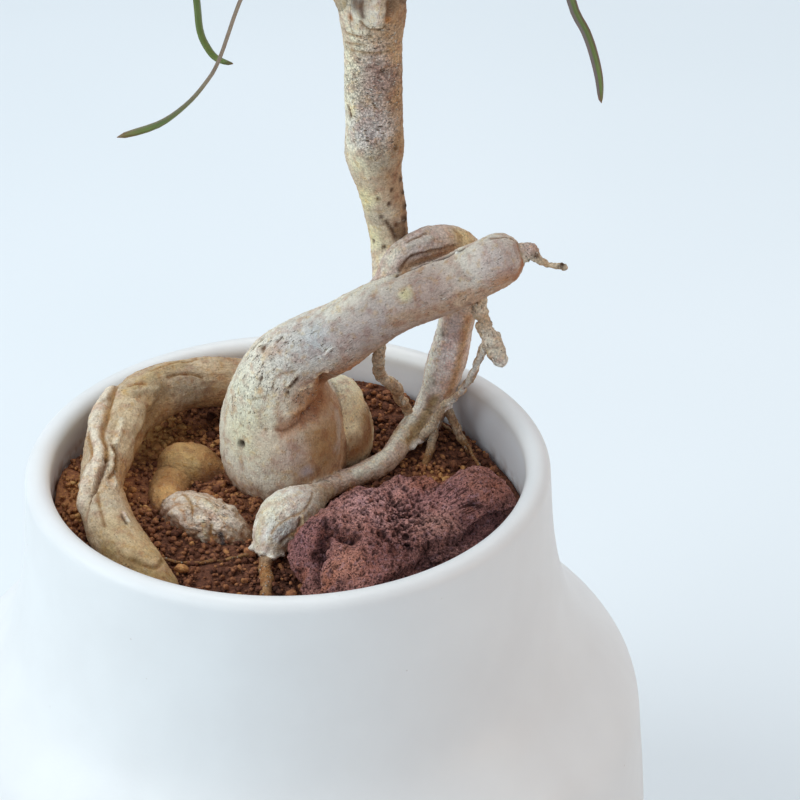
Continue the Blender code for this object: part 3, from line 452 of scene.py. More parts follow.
TRUNK_SPOTS = (
    # the first two spots are painted shade beside the stub
    (354, 2, 1.9, -0.2, (126, 108, 92)), (392, 4, 1.5, -0.3, (136, 108, 82)),
    (376, 8, 1.9, 0, (232, 218, 196)), (376, 20, 1.8, 0.1, (238, 226, 204)),
    (359, 24, 1.8, 0, (244, 232, 206)), (351, 18, 0.65, -0.1, (190, 132, 84)),
    # the pale spots down the trunk's left side and the darker ones down its right edge are painted light and
    # shade
    (388, 20, 0.75, -0.2, (182, 124, 74)), (354, 40, 2.4, 0, (246, 234, 204)),
    (352, 60, 2.4, 0, (250, 240, 208)), (351, 85, 2.6, 0, (252, 243, 214)),
    (351, 110, 2.6, 0, (252, 245, 218)), (351, 135, 2.6, 0, (252, 246, 224)),
    (360, 165, 2.4, 0, (238, 226, 190)), (365, 200, 2.4, 0, (240, 226, 178)),
    (371, 236, 2.4, 0, (240, 228, 184)), (382, 215, 2.2, 0, (206, 190, 166)),
    (378, 62, 3, 0, (206, 186, 172)), (380, 86, 3.6, 0, (176, 148, 136)),
    (372, 112, 3, 0, (196, 176, 162)), (373, 134, 3.6, 0, (212, 200, 192)),
    (380, 160, 2.6, 0, (186, 172, 150)), (397, 50, 2.2, 0, (204, 168, 130)),
    (399, 96, 2.4, 0, (184, 146, 110)), (401, 140, 2.2, 0, (186, 150, 112)),
    (403, 231, 0.9, 0.3, (104, 80, 62)), (398, 233, 1, 0.1, (140, 112, 86)),
    (399, 221, 0.5, 0.3, (224, 208, 186)), (396, 148, 0.6, -0.1, (118, 88, 60)),
    (352, 111, 0.8, 0.3, (236, 220, 180)), (383, 71, 0.5, -0.2, (120, 98, 84)),
    (389, 204, 0.4, -0.3, (90, 68, 52)), (381, 217, 0.4, -0.3, (96, 72, 54)),
    (373, 241, 0.4, -0.3, (96, 72, 54)), (378, 199, 0.35, -0.3, (96, 72, 54)),
    (392, 190, 0.4, -0.3, (90, 68, 52)), (384, 247, 0.4, -0.3, (90, 68, 52)),
    (400, 179, 0.5, 0.35, (84, 62, 46)), (402, 192, 0.5, 0.4, (84, 62, 46)),
    (404, 206, 0.7, 0.4, (66, 48, 38)), (404, 219, 0.8, 0.4, (72, 54, 42)),
    (397, 225, 0.6, -0.3, (126, 100, 78)),
)
FLAKY = (                   # pixel, reach and strength of places where the bark is scaly
    (255, 366, 7, 1), (286, 348, 6, 0.8), (243, 400, 6, 0.8), (304, 394, 6, 1), (275, 380, 5, 0.9),
    (336, 352, 4.5, 0.9), (262, 425, 4, 0.4), (318, 388, 3.5, 1), (445, 350, 5, 0.3), (350, 365, 3, 1),
    (500, 262, 5, 0.5), (400, 300, 8, 0.35), (390, 332, 3, 0.7), (455, 300, 3.5, 0.8),
    (485, 288, 3.5, 0.8), (210, 520, 6, 0.8), (285, 520, 5, 0.5), (110, 470, 8, 0.4),
    (375, 45, 6, 0.8), (375, 85, 9, 1), (375, 135, 5.5, 1),
)
SCALY_BELOW = 0.15          # how scaly the bark is everywhere else
STAIN = tone(150, 106, 74)  # colour, height and depth of the brown foot of the roots
STAIN_HIGH = 2.8
STAIN_DEEP = 0.8
RAGGED = 0.35               # how far the edge of a mark strays
STROKE_STEPS = 16
ROOT_SIDES = 20
ROOT_STEPS = 6
DOME_RINGS = 4
BURIED_MESH = (12, 4)       # sides of a root, and smooth steps between two of its points
TWIG_MESH = (12, 6)
STEM_MESH = (16, 6)
THIN_MESH = (14, 5)
HAIR_MESH = (7, 4)
ROOT_GRID = 0.36            # size of the faces on the roots
STEM_GRID = 0.40            # and on the trunk and its branches
WOOD_EASE = 3               # times that creases between roots are eased
WOOD_TRIANGLES = 190000     # most triangles that one skin of wood keeps

# Leaves
SHOOT_GAP = 0.3             # gap between a twig's tip and its shoot
SHOOT_SUNK = 0.8            # how far the shoot's stem reaches back over it
SHOOT_LENGTH = 13
SHOOT_ROUND = 1.4
SHOOT_TIP = 0.8
SHOOT_LIFT = 0.75
LEAVES_ON_A_SHOOT = 10
LEAF_SEED = 11
LEAF_TURN = math.radians(137.5)
SHOOT_TURN = 1.9
LEAF_LENGTH = (74, 40)
LEAF_RISE = (math.radians(28), math.radians(66))
LEAF_BEND = math.radians(130)
LEAF_CURL = 1.3
LEAF_WIDTH = 2.3
HANGING_WIDTH = 2
STALK_WIDTH = 0.42          # width at the stalk, as a share of the width
WIDENING = 2.6
LEAF_TAPER = 5              # the larger, the nearer to the tip a blade narrows
HANGING_TAPER = 18
LEAF_STEPS = 5
BENDS_TRIED = (1, 0.8, 0.6, 0.45)
TURNS_TRIED = (0, 0.2, -0.2, 0.4, -0.4, 0.6, -0.6)
LEAF_TESTS = 6
STEM_TESTS = 4
HANGING_FREE = 3
LEAF_CLEAR = 2.6
WOOD_CLEAR = 1.2
CROWN_TOP = 304.7
CROWN_EDGE = 215
CROWN_SLOPE = 0.44
# share of the shoot's length at which each hangs; how far it is turned from the viewer at its stalk and
# tip, how dry it is and how rimmed; points along it
HANGING_LEAVES = {
    "left": (
        (0.1, ((1.42, 0), 1, 0.5), (
            (-3.4, 12, 247.5), (-0.6, 9.5, 242), (0.4, 8.5, 232), (-2, 8.2, 221), (-6.5, 8.2, 211.9),
            (-10.5, 8, 200.9), (-13.1, 7.6, 196.4), (-16.9, 7, 192.1), (-22, 6, 188.8), (-29.5, 5, 187),
        )),
        (0.4, ((0.85, 1), 0, 0.1), (
            (-12.4, 10.5, 251), (-15, 11, 243), (-15.4, 12, 227), (-14.3, 12, 210.7), (-13.9, 12, 204.7),
            (-12.6, 11.4, 201.6), (-11, 10.6, 200), (-8.2, 9, 199.5),
        )),
    ),
    "right": (
        (0.2, ((0.55, 0.9), 0.05, 2.3), (
            (46.5, 12.5, 245.5), (48.6, 12.5, 238), (49.8, 12.5, 226), (52.6, 12, 210.3),
            (55.3, 10.4, 204.7), (56.7, 9.4, 200.9), (57.8, 8.2, 196.4), (58.1, 7, 192.2),
        )),
    ),
}
DRY_TO = (0.62, 0.92)       # shares of a dry blade's length over which it turns green
TURN_LATE = 8               # the larger, the nearer to the tip a blade turns
BLADE_THICK = 0.42
BLADE_FOLD = 0.28           # how far a blade's edges stand above its midrib
BLADE_STEPS = 4             # smooth steps between two points of a blade's line
BLADE_END = 0.06            # half a blade's width at its very tip
BLADE_RIM = (               # place across the blade, and height in thicknesses, once round its section
    (-1, 0), (-0.55, 0.5), (0, 0.42), (0.55, 0.5), (1, 0),
    (0.55, -0.5), (0.12, -0.62), (0, -0.95), (-0.12, -0.62), (-0.55, -0.5),
)
YOUNG_LEAVES = 6
YOUNG_LENGTH = (8, 15)
YOUNG_WIDTH = 0.7 * LEAF_WIDTH
YOUNG_PLACE = 0.96          # share of the shoot's length at which they stand
YOUNG_RISE = 62             # angle of the lowest one in degrees, and how much steeper each next one is
YOUNG_RISE_STEP = 4
YOUNG_BEND = (15, 45)

THIN_SPOTS = (
    (503, 364, 2, 0.2, (240, 234, 220)), (493, 340, 2.4, 0.1, (220, 206, 186)),
    (529, 248, 1.6, 0.2, (196, 170, 158)), (562, 265, 0.5, 0.3, (70, 46, 32)),
    (536, 256, 0.5, 0.1, (96, 70, 52)), (266, 572, 2.6, 0, (170, 122, 76)),
)
HAIR_ROOTS = (              # root hairs that lie on the soil
    ((-26.2, -12.5, 110.6, 0.25), (-24.1, -16, 110.3, 0.3), (-18.7, -18.2, 110.1, 0.28),
     (-13.6, -17.8, 110.2, 0.3), (-8.9, -16.6, 110.6, 0.3), (-4.6, -14.8, 111.4, 0.3)),
    ((29.4, 30.8, 111.6, 0.3), (32.5, 26.1, 111.2, 0.35), (35.2, 21.5, 110.6, 0.3), (36.7, 16.1, 110, 0.25)),
)
THIN_STROKES = (
    ((389, 345, 391, 365, 398, 384, 404, 404), 0.5, 0.2, (232, 220, 198)),
    ((484, 350, 474, 370, 462, 392, 448, 406), 0.7, 0.25, (250, 244, 232)),
)
THIN_WAVES = (6, 0.45, 0.4) # steps of a thin root's waves, their reach, and how its thickness varies
HAIR_WAVES = (3, 0.4, 0.15)
STAINED_BELOW = 114         # height below which soil clings to the thin roots
STAIN_FADES = 3
THIN_TINTS = (tone(226, 210, 184), tone(182, 146, 112), tone(158, 116, 76))
THIN_GRAIN = (1.2, 1.2, 0.5)

# Light
FLOOR_SIZE = 6000
LIT_PLACE = (0, 0, 120)
LIGHTS = {                  # place, size, power and colour
    "window": ((-930, -350, 740), 1000, 7.4, (0.88, 0.97, 1)),
    "sky": ((-100, 300, 1300), 900, 7.6, (0.94, 0.98, 1)),
    "front": ((-420, -900, 420), 500, 0.6, (0.80, 0.92, 1)),
    "far_side": ((400, 620, 880), 600, 0.9, (1, 0.95, 0.88)),
    "warm_bounce": ((900, -260, 380), 600, 1.4, (1, 0.55, 0.20)),
}
AIR_COLOUR = (0.86, 0.95, 1.06, 1)
AIR_STRENGTH = 0.46


def link(name, data):
    """Put an object with this data in the scene."""
    item = bpy.data.objects.new(name, data)
    bpy.context.scene.collection.objects.link(item)
    return item


def smooth_object(name, shape):
    """Turn a bmesh in metres into an object."""
    mesh = bpy.data.meshes.new(name)
    shape.to_mesh(mesh)
    shape.free()
    mesh.shade_smooth()
    return link(name, mesh)


def add_object(name, shape):
    """Turn a bmesh in millimetres into an object in metres."""
    bmesh.ops.recalc_face_normals(shape, faces=shape.faces)
    shape.transform(Matrix.Scale(MM, 4))
    return smooth_object(name, shape)


def join(name, items):
    """Put the meshes of several objects in one new object and remove them."""
    shape = bmesh.new()
    for item in items:
        shape.from_mesh(item.data)
        bpy.data.objects.remove(item, do_unlink=True)
    return smooth_object(name, shape)


def alter(item, kind, **settings):
    """Give an object a modifier of this kind."""
    step = item.modifiers.new(kind, kind)
    for name, value in settings.items():
        setattr(step, name, value)


def settle(item):
    """Replace an object's mesh by its evaluated one and drop its modifiers."""
    depsgraph = bpy.context.evaluated_depsgraph_get()
    mesh = bpy.data.meshes.new_from_object(item.evaluated_get(depsgraph))
    item.modifiers.clear()
    item.data = mesh


def place_piece(item, finish, slot, *nodes):
    """Give a piece its material, its body and the nodes that it stands for, which are hidden; the slot is
    not used.
    """
    item.data.materials.clear()
    item.data.materials.append(finish.material)
    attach(item, "root")
    if nodes:
        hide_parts(*nodes)


def mark(item, **fields):
    """Write a number, vector or colour for each point of a mesh, under the name of each field."""
    kinds = {1: ("FLOAT", "value"), 3: ("FLOAT_VECTOR", "vector"), 4: ("FLOAT_COLOR", "color")}
    for name, values in fields.items():
        values = np.asarray(values, np.float32).ravel()
        kind, field = kinds[len(values) // len(item.data.vertices)]
        item.data.attributes.new(name, kind, "POINT").data.foreach_set(field, values)


def read_points(item, field):
    """Three numbers for each point of a mesh."""
    values = np.zeros(len(item.data.vertices) * 3, np.float32)
    item.data.vertices.foreach_get(field, values)
    return values.reshape(-1, 3).astype(float)


def places_of(item):
    """The points of a mesh in millimetres."""
    return read_points(item, "co") / MM


def put_places(item, places):
    item.data.vertices.foreach_set("co", (places * MM).astype(np.float32).ravel())
    item.data.update()


def soften(value):
    """Ease a share from 0 to 1 in and out."""
    value = min(1.0, max(0.0, value))
    return value * value * (3.0 - 2.0 * value)


def between(ends, share):
    """Value at a share of the way from the first end to the second."""
    return ends[0] + (ends[1] - ends[0]) * share


def circle(count):
    """Angles of points spread evenly round a circle."""
    return [2 * math.pi * index / count for index in range(count)]


def blend(points, share):
    """Point on a smooth curve through four neighbouring points, each a tuple of numbers."""
    before, start, end, after = points
    return tuple(
        0.5 * (2 * b + (c - a) * share + (2 * a - 5 * b + 4 * c - d) * share ** 2
               + (3 * b - a - 3 * c + d) * share ** 3)
        for a, b, c, d in zip(before, start, end, after)
    )


def smooth_line(points, steps):
    """A smooth curve through all the points, with this many steps between two of them."""
    ends = [points[0], *points, points[-1]]
    line = []
    for index in range(len(points) - 1):
        four = ends[index:index + 4]
        line.extend(blend(four, step / steps) for step in range(steps))
    line.append(points[-1])
    return line


def lathe(profile, segments):
    """Turn a profile of (radius, height) about Z; its two ends lie on the axis."""
    shape = bmesh.new()
    rings = []
    for radius, height in profile:
        turns = circle(segments) if radius else [0.0]
        rings.append([shape.verts.new((radius * math.cos(a), radius * math.sin(a), height)) for a in turns])
    for upper, lower in zip(rings, rings[1:]):
        bridge(shape, upper, lower)
    return shape


def bridge(shape, ring, other):
    """Join two rings of points, either of which may be a single point."""
    count = max(len(ring), len(other))
    for index in range(count):
        after = (index + 1) % count
        corners = [ring[index % len(ring)], ring[after % len(ring)], other[after % len(other)],
                   other[index % len(other)]]
        shape.faces.new(list(dict.fromkeys(corners)))


def close_tube(shape, loops):
    """Join rings of points one after the other and close both ends."""
    for ring, other in zip(loops, loops[1:]):
        bridge(shape, ring, other)
    shape.faces.new(loops[0])
    shape.faces.new(loops[-1])


def tube(name, points, sides, steps, domed=True):
    """A closed round root or branch along points of (x, y, z, radius)."""
    rings = [(Vector(point[:3]), point[3]) for point in smooth_line(points, steps)]
    first = (rings[1][0] - rings[0][0]).normalized()
    last = (rings[-1][0] - rings[-2][0]).normalized()
    if domed:
        turns = [0.5 * math.pi * (step + 1) / (DOME_RINGS + 1) for step in range(DOME_RINGS)]
        (start, start_size), (end, end_size) = rings[0], rings[-1]
        head = [(start - first * start_size * math.sin(a), start_size * math.cos(a)) for a in turns]
        tail = [(end + last * end_size * math.sin(a), end_size * math.cos(a)) for a in turns]
        rings = head[::-1] + rings + tail
    shape = bmesh.new()
    side = first.orthogonal().normalized()
    loops = []
    for index, (place, size) in enumerate(rings):
        ahead = rings[min(index + 1, len(rings) - 1)][0]
        behind = rings[max(index - 1, 0)][0]
        along = (ahead - behind).normalized()
        side = (side - along * side.dot(along)).normalized()
        across = along.cross(side)
        round_about = [side * math.cos(a) + across * math.sin(a) for a in circle(sides)]
        loops.append([shape.verts.new(place + way * size) for way in round_about])
    close_tube(shape, loops)
    return add_object(name, shape)


class Finish:
    """A material whose colour and relief are built up from procedural nodes."""

    def __init__(self, name, roughness):
        self.material = bpy.data.materials.new(name)
        self.material.use_nodes = True
        self.tree = self.material.node_tree
        self.shader = self.tree.nodes["Principled BSDF"]
        self.set("Roughness", roughness)
        size = self.add(VECTOR_MATH, operation="SCALE")
        self.feed(size.inputs[0], self.add("ShaderNodeTexCoord").outputs["Object"])
        self.feed(size.inputs["Scale"], 1.0 / MM)
        self.place = size.outputs[0]

    def add(self, kind, **settings):
        made = self.tree.nodes.new(kind)
        for name, value in settings.items():
            setattr(made, name, value)
        return made

    def feed(self, socket, value):
        """Link a socket to another node's output, or set it to a number or colour."""
        if isinstance(value, bpy.types.NodeSocket):
            self.tree.links.new(value, socket)
        else:
            socket.default_value = value

    def node(self, kind, *values, **settings):
        """A node with these values at its first inputs, and its first output."""
        made = self.add(kind, **settings)
        for socket, value in zip(made.inputs, values):
            self.feed(socket, value)
        return made.outputs[0]

    def set(self, name, value):
        self.feed(self.shader.inputs[name], value)

    def moved(self, shift, vector=None, factors=(1.0, 1.0, 1.0)):
        """Coordinates whose three parts are multiplied by the factors and then moved."""
        shift = (shift, shift, shift)
        return self.node(VECTOR_MATH, vector or self.place, factors, shift, operation="MULTIPLY_ADD")

    def noise_node(self, closeness, detail, vector):
        made = self.add("ShaderNodeTexNoise")
        self.feed(made.inputs["Vector"], vector or self.place)
        self.feed(made.inputs["Scale"], closeness)
        self.feed(made.inputs["Detail"], detail)
        return made

    def noise(self, closeness, detail, vector=None):
        return self.noise_node(closeness, detail, vector).outputs["Fac"]

    def patches(self, closeness, detail, low, high, to_low=0.0, to_high=1.0, vector=None):
        """Blotches of noise, with its values from low to high spread from to_low to to_high."""
        return self.scale(self.noise(closeness, detail, vector), low, high, to_low, to_high)

    def cells(self, closeness, vector=None):
        made = self.add("ShaderNodeTexVoronoi")
        self.feed(made.inputs["Vector"], vector or self.place)
        self.feed(made.inputs["Scale"], closeness)
        return made.outputs["Distance"]

    def dots(self, closeness, full, gone, vector=None, depth=1.0):
        """Round dots: as deep as this up to one distance from their middles, and gone at another."""
        return self.scale(self.cells(closeness, vector), full, gone, depth, 0.0)

    def swayed(self, vector, closeness, reach):
        """Coordinates that stray by up to this reach."""
        sway = self.noise_node(closeness, 2.0, None).outputs["Color"]
        return self.node(VECTOR_MATH, sway, (reach, reach, reach), vector, operation="MULTIPLY_ADD")

    def attribute(self, name, output="Fac"):
        return self.add("ShaderNodeAttribute", attribute_name=name).outputs[output]

    def scale(self, value, low, high, to_low=0.0, to_high=1.0):
        """Turn a value that runs from low to high into one from to_low to to_high."""
        return self.node("ShaderNodeMapRange", value, low, high, to_low, to_high)

    def work(self, operation, first, second=0.0):
        return self.node("ShaderNodeMath", first, second, operation=operation)

    def times(self, first, second):
        return self.work("MULTIPLY", first, second)

    def plus(self, first, second):
        return self.work("ADD", first, second)

    def larger(self, first, second):
        return self.work("MAXIMUM", first, second)

    def mix(self, share, first, second, kind="MIX"):
        made = self.add("ShaderNodeMix", data_type="RGBA", blend_type=kind)
        sockets = [socket for socket in made.inputs if socket.enabled]
        for socket, value in zip(sockets, (share, first, second)):
            self.feed(socket, value)
        return next(socket for socket in made.outputs if socket.enabled)

    def ramp(self, value, stops):
        made = self.add("ShaderNodeValToRGB")
        colours = made.color_ramp.elements
        while len(colours) < len(stops):
            colours.new(0.5)
        for element, (place, colour) in zip(colours, stops):
            element.position = place
            element.color = colour
        self.feed(made.inputs[0], value)
        return made.outputs[0]

    def bump(self, height, depth, under=None):
        """Relief of this depth in millimetres, on top of another relief."""
        made = self.add("ShaderNodeBump")
        self.feed(made.inputs["Strength"], 1.0)
        self.feed(made.inputs["Distance"], depth * MM)
        self.feed(made.inputs["Height"], height)
        if under:
            self.feed(made.inputs["Normal"], under)
        return made.outputs[0]


def view_turn():
    """Right, up and forward directions of the camera."""
    forward = Vector((0.0, math.cos(CAMERA_PITCH), -math.sin(CAMERA_PITCH)))
    level = Vector((1.0, 0.0, 0.0))
    upright = Vector((0.0, math.sin(CAMERA_PITCH), math.cos(CAMERA_PITCH)))
    right = level * math.cos(CAMERA_ROLL) + upright * math.sin(CAMERA_ROLL)
    up = upright * math.cos(CAMERA_ROLL) - level * math.sin(CAMERA_ROLL)
    return right, up, forward


def view_way(pixel):
    """Direction in which a pixel of the picture is seen, one long along the view."""
    right, up, forward = view_turn()
    step = SENSOR / LENS / PICTURE
    return forward + right * (pixel[0] - PICTURE / 2) * step - up * (pixel[1] - PICTURE / 2) * step


def camera_place():
    return Vector((0.0, 0.0, LIP_HEIGHT)) - view_way(LIP_CENTRE_AT) * CAMERA_AWAY


def make_camera():
    right, up, forward = view_turn()
    camera = bpy.data.cameras.new("camera")
    camera.sensor_width = SENSOR
    camera.lens = LENS
    item = link("camera", camera)
    turn = Matrix((right, up, -forward)).transposed().to_4x4()
    item.matrix_world = Matrix.Translation(camera_place() * MM) @ turn
    bpy.context.scene.camera = item


class Skin:
    """A mesh while relief and colour are worked into its points."""

    def __init__(self, item):
        self.item = item
        self.places = places_of(item)
        self.normals = read_points(item, "normal")
        self.tints = np.zeros((len(self.places), 4))
        shape = bmesh.new()
        shape.from_mesh(item.data)
        self.surface = bvhtree.BVHTree.FromBMesh(shape)
        shape.free()
        self.tree = kdtree.KDTree(len(self.places))
        for index, place in enumerate(self.places):
            self.tree.insert(place, index)
        self.tree.balance()

    def seen_at(self, pixels):
        """Points on the skin, in millimetres, that the camera sees at pixels (x, y, x, y and so on)."""
        start = camera_place() * MM
        ways = [view_way(pixel).normalized() for pixel in zip(pixels[::2], pixels[1::2])]
        hits = [self.surface.ray_cast(start, way)[0] for way in ways]
        return [place / MM for place in hits if place]

    def fade_from(self, place, reach):
        """For each point, a share that falls from 1 at a place to 0 a little beyond the reach."""
        return np.exp(-(np.linalg.norm(self.places - np.array(place), axis=1) / reach) ** 3)

    def raise_by(self, heights):
        self.places += self.normals * np.asarray(heights)[:, None]

    def press(self, shares, rise, colour):
        """Raise the points by their share of a rise and tint them by their share of a colour."""
        self.raise_by(shares * rise)
        if colour:
            self.tints += (np.array(tone(*colour)) - self.tints) * np.sqrt(shares)[:, None]

    def spot(self, x, y, reach, rise, colour):
        """A round bump, hollow or patch where the camera sees this pixel."""
        for place in self.seen_at((x, y)):
            self.press(self.fade_from(place, reach), rise, colour)

    def stroke(self, pixels, reach, rise, colour, lean=0):
        """A ridge or groove through these pixels, or a flap on one side of the line where it leans."""
        spots = self.seen_at(pixels)
        if len(spots) < 2:
            return
        line = [Vector(place) for place in smooth_line([tuple(place) for place in spots], STROKE_STEPS)]
        shares = np.zeros(len(self.places))
        nearest = np.full(len(self.places), np.inf)
        forward = view_turn()[2]
        for spot, after in zip(line, line[1:]):
            along = (after - spot).normalized()
            for place, index, gap in self.tree.find_range(spot, reach * (1.0 + RAGGED)):
                if gap >= nearest[index]:
                    continue
                nearest[index] = gap
                stray = RAGGED * noise.noise(place * 0.8)
                side = along.cross(place - spot).dot(forward) + stray
                hidden = lean and side * lean < 0.0
                shares[index] = 0.0 if hidden else soften(1.0 - gap / (reach * (1.0 + stray)))
        self.press(shares, rise, colour)

    def draw(self, spots, strokes):
        for spot in spots:
            self.spot(*spot)
        for stroke in strokes:
            self.stroke(*stroke)

    def settle(self):
        put_places(self.item, self.places)
        mark(self.item, tint=self.tints)


def make_light(name, place, size, power, colour):
    lamp = bpy.data.lights.new(name, "AREA")
    lamp.shape = "DISK"
    lamp.size = size * MM
    lamp.energy = power
    lamp.color = colour
    item = link(name, lamp)
    item.location = Vector(place) * MM
    item.rotation_euler = (Vector(LIT_PLACE) - Vector(place)).to_track_quat("-Z", "Y").to_euler()


def make_studio():
    """A pale floor, soft lights and pale air all round."""
    shape = bmesh.new()
    bmesh.ops.create_grid(shape, x_segments=1, y_segments=1, size=FLOOR_SIZE / 2)
    floor = add_object("floor", shape)
    finish = Finish("floor", 0.7)
    shade = finish.patches(0.004, 2.0, 0.3, 0.7)
    finish.set("Base Color", finish.mix(shade, tone(224, 231, 235), tone(229, 235, 239)))
    floor.data.materials.append(finish.material)
    for name, light in LIGHTS.items():
        make_light(name, *light)
    world = bpy.data.worlds.new("world")
    world.use_nodes = True
    air = world.node_tree.nodes["Background"].inputs
    air["Color"].default_value = AIR_COLOUR
    air["Strength"].default_value = AIR_STRENGTH
    bpy.context.scene.world = world
    bpy.context.scene.view_settings.view_transform = "Standard"


def pot_inside(side, gap=0.0):
    """Inside of the pot, from the lip down to the floor, set in from the outside by the wall."""
    inside = []
    for index, (radius, height) in enumerate(side):
        before = side[max(index - 1, 0)]
        after = side[min(index + 1, len(side) - 1)]
        run = math.hypot(after[0] - before[0], after[1] - before[1])
        inward = ((after[1] - before[1]) / run, (before[0] - after[0]) / run)
        place = (radius + inward[0] * (WALL + gap), height + inward[1] * (WALL + gap))
        if FLOOR + 2 * WALL < place[1] < LIP_HEIGHT - LIP_EDGE:
            inside.append(place)
    corner = inside[-1][0]
    rise = inside[-1][1] - FLOOR
    turns = [0.5 * math.pi * (step + 1) / CORNER_STEPS for step in range(CORNER_STEPS)]
    bend = [(corner - rise * (1 - math.cos(a)), FLOOR + gap + rise * (1 - math.sin(a))) for a in turns]
    return inside + bend


def pot_finish():
    """Matt white glaze, a little mottled, with soil dust on the inside above the soil, partly painted shade
    at the left, and a whiter, bluer inside that is painted light.
    """
    finish = Finish("matt_white_glaze", 0.42)
    mottle = finish.patches(0.06, 3.0, 0.3, 0.7)
    white = finish.mix(mottle, (0.78, 0.78, 0.775, 1.0), (0.82, 0.825, 0.82, 1.0))
    # painted light: the inside is whiter and bluer, standing in for the sky light on it
    white = finish.mix(finish.attribute("inside"), white, (0.89, 0.92, 0.96, 1.0))
    white = finish.mix(finish.times(finish.dots(0.12, 0.0, 0.030), 0.6), white, tone(150, 130, 105))
    # soil dust, with painted shade where it reaches higher and thicker at the left
    dust = finish.times(finish.attribute("dust"), finish.patches(0.35, 5.0, 0.42, 0.62))
    finish.set("Base Color", finish.mix(dust, white, tone(150, 112, 84)))
    gloss = finish.patches(0.25, 4.0, 0.3, 0.7, 0.38, 0.5)
    finish.set("Roughness", finish.plus(gloss, finish.times(dust, 0.4)))
    fine = finish.bump(finish.noise(1.6, 3.0), 0.018)
    finish.set("Normal", finish.bump(finish.noise(0.10, 2.0), 0.10, under=fine))
    return finish


def cut_drain_holes(pot):
    """Drill the holes in the pot's floor."""
    drills = []
    for turn in circle(DRAIN_HOLES):
        top = 2 * WALL + FLOOR
        drill = lathe([(0.0, -WALL), (DRAIN_RADIUS, -WALL), (DRAIN_RADIUS, top), (0.0, top)], DRAIN_SEGMENTS)
        turn += math.pi / 2
        place = (DRAIN_CIRCLE * math.cos(turn), DRAIN_CIRCLE * math.sin(turn), 0.0)
        bmesh.ops.translate(drill, verts=drill.verts, vec=place)
        drills.append(add_object("drain", drill))
    cutter = join("drains", drills)
    alter(pot, "BOOLEAN", operation="DIFFERENCE", object=cutter)
    settle(pot)
    bpy.data.objects.remove(cutter, do_unlink=True)


def make_pot():
    """White pot with a rounded lip, a straight neck, a sloping shoulder and a flat foot."""
    side = [(min(radius, POT_RADIUS), height) for radius, height in smooth_line(POT_SIDE, POT_STEPS)]
    turns = [math.pi * step / LIP_STEPS for step in range(LIP_STEPS)]
    lip = [(LIP_RADIUS - LIP_ROUND * math.cos(a), LIP_HEIGHT + LIP_ROUND * math.sin(a)) for a in turns]
    inside = pot_inside(side)[::-1]
    pot = add_object("white_pot", lathe([(0.0, FLOOR), *inside, *lip, *side, (0.0, 0.0)], POT_SEGMENTS))
    cut_drain_holes(pot)
    pot.data.set_sharp_from_angle(angle=EDGE_ANGLE)
    x, y, z = places_of(pot).T
    inner = np.hypot(x, y) < LIP_RADIUS - LIP_EDGE
    # the brown band rises higher and thicker at the left, where it is partly painted shade
    leftness = np.clip(0.5 - x / (2 * LIP_RADIUS), 0.0, 1.0)
    dusty = np.clip((DUST_LEVEL + DUST_AND_SHADE_RISE * leftness - z) / DUST_FADES, 0.0, 1.0)
    below = np.clip((LIP_HEIGHT - z) / INSIDE_LIGHT_FADES, 0.0, 1.0)
    mark(pot, dust=inner * dusty * between(DUST_AND_SHADE_SHARES, leftness), inside=inner * below)
    place_piece(pot, pot_finish(), "pot", "pot")


def heaped(x, y, level, places):
    """A level at a place, with a few round heaps of (x, y, rise, reach) on top of it."""
    return sum((rise * math.exp(-((x - mid_x) ** 2 + (y - mid_y) ** 2) / reach ** 2)
                for mid_x, mid_y, rise, reach in places), level)


def soil_height(x, y):
    """Height of the soil's surface: lumps, higher at the left and the back, lower at the right."""
    lump = SOIL_LUMP * noise.noise(Vector((x / SOIL_GRAIN, y / SOIL_GRAIN, SOIL_PATTERN)))
    return heaped(x, y, SOIL_LEVEL + lump, SOIL_HEAPS)


def soil_finish(name):
    """Dark reddish brown earth; each grain has a shade of its own."""
    finish = Finish(name, 0.92)
    value = finish.plus(finish.attribute("shade"), finish.patches(1.7, 5.0, 0.25, 0.75, -0.22, 0.22))
    finish.set("Base Color", finish.ramp(value, SOIL_COLOURS))
    finish.set("Specular IOR Level", 0.2)
    finish.set("Normal", finish.bump(finish.noise(3.2, 5.0), 0.3))
    return finish


def make_soil_bed():
    """The soil's body, with a fine lumpy top."""
    side = smooth_line(POT_SIDE, POT_STEPS)
    wall = [place for place in pot_inside(side, SOIL_GAP) if place[1] < SOIL_NECK]
    mouth = LIP_RADIUS - LIP_ROUND - SOIL_GAP
    top = [(mouth * ring / SOIL_RINGS, SOIL_LEVEL) for ring in range(SOIL_RINGS + 1)]
    shape = lathe([*top, *wall[::4], (0.0, FLOOR + SOIL_GAP)], SOIL_SEGMENTS)
    for point in shape.verts:
        x, y, z = point.co
        if z > SOIL_NECK:
            fine = noise.noise(Vector((x / FINE_GRAIN, y / FINE_GRAIN, FINE_PATTERN)))
            point.co.z = soil_height(x, y) + FINE_LUMP * (fine - FINE_DIP)
    bed = add_object("soil_bed", shape)
    mark(bed, shade=[heaped(x, y, BED_SHADE, SOIL_SHADES) for x, y, z in places_of(bed)])
    place_piece(bed, soil_finish("soil"), "soil", "soil")


def grain_shape(chance, subdivisions):
    """Points and faces of one irregular grain of radius one."""
    shape = bmesh.new()
    bmesh.ops.create_icosphere(shape, subdivisions=subdivisions, radius=1.0)
    offset = Vector([chance.uniform(0, 50) for axis in range(3)])
    flat = Vector([1.0] + [chance.uniform(*ends) for ends in GRAIN_FLAT])
    points = []
    for point in shape.verts:
        reach = 1.0 + 0.6 * noise.noise(point.co * 1.5 + offset)
        points.append([point.co[axis] * flat[axis] * reach for axis in range(3)])
    faces = [[point.index for point in face.verts] for face in shape.faces]
    shape.free()
    return np.array(points), np.array(faces)


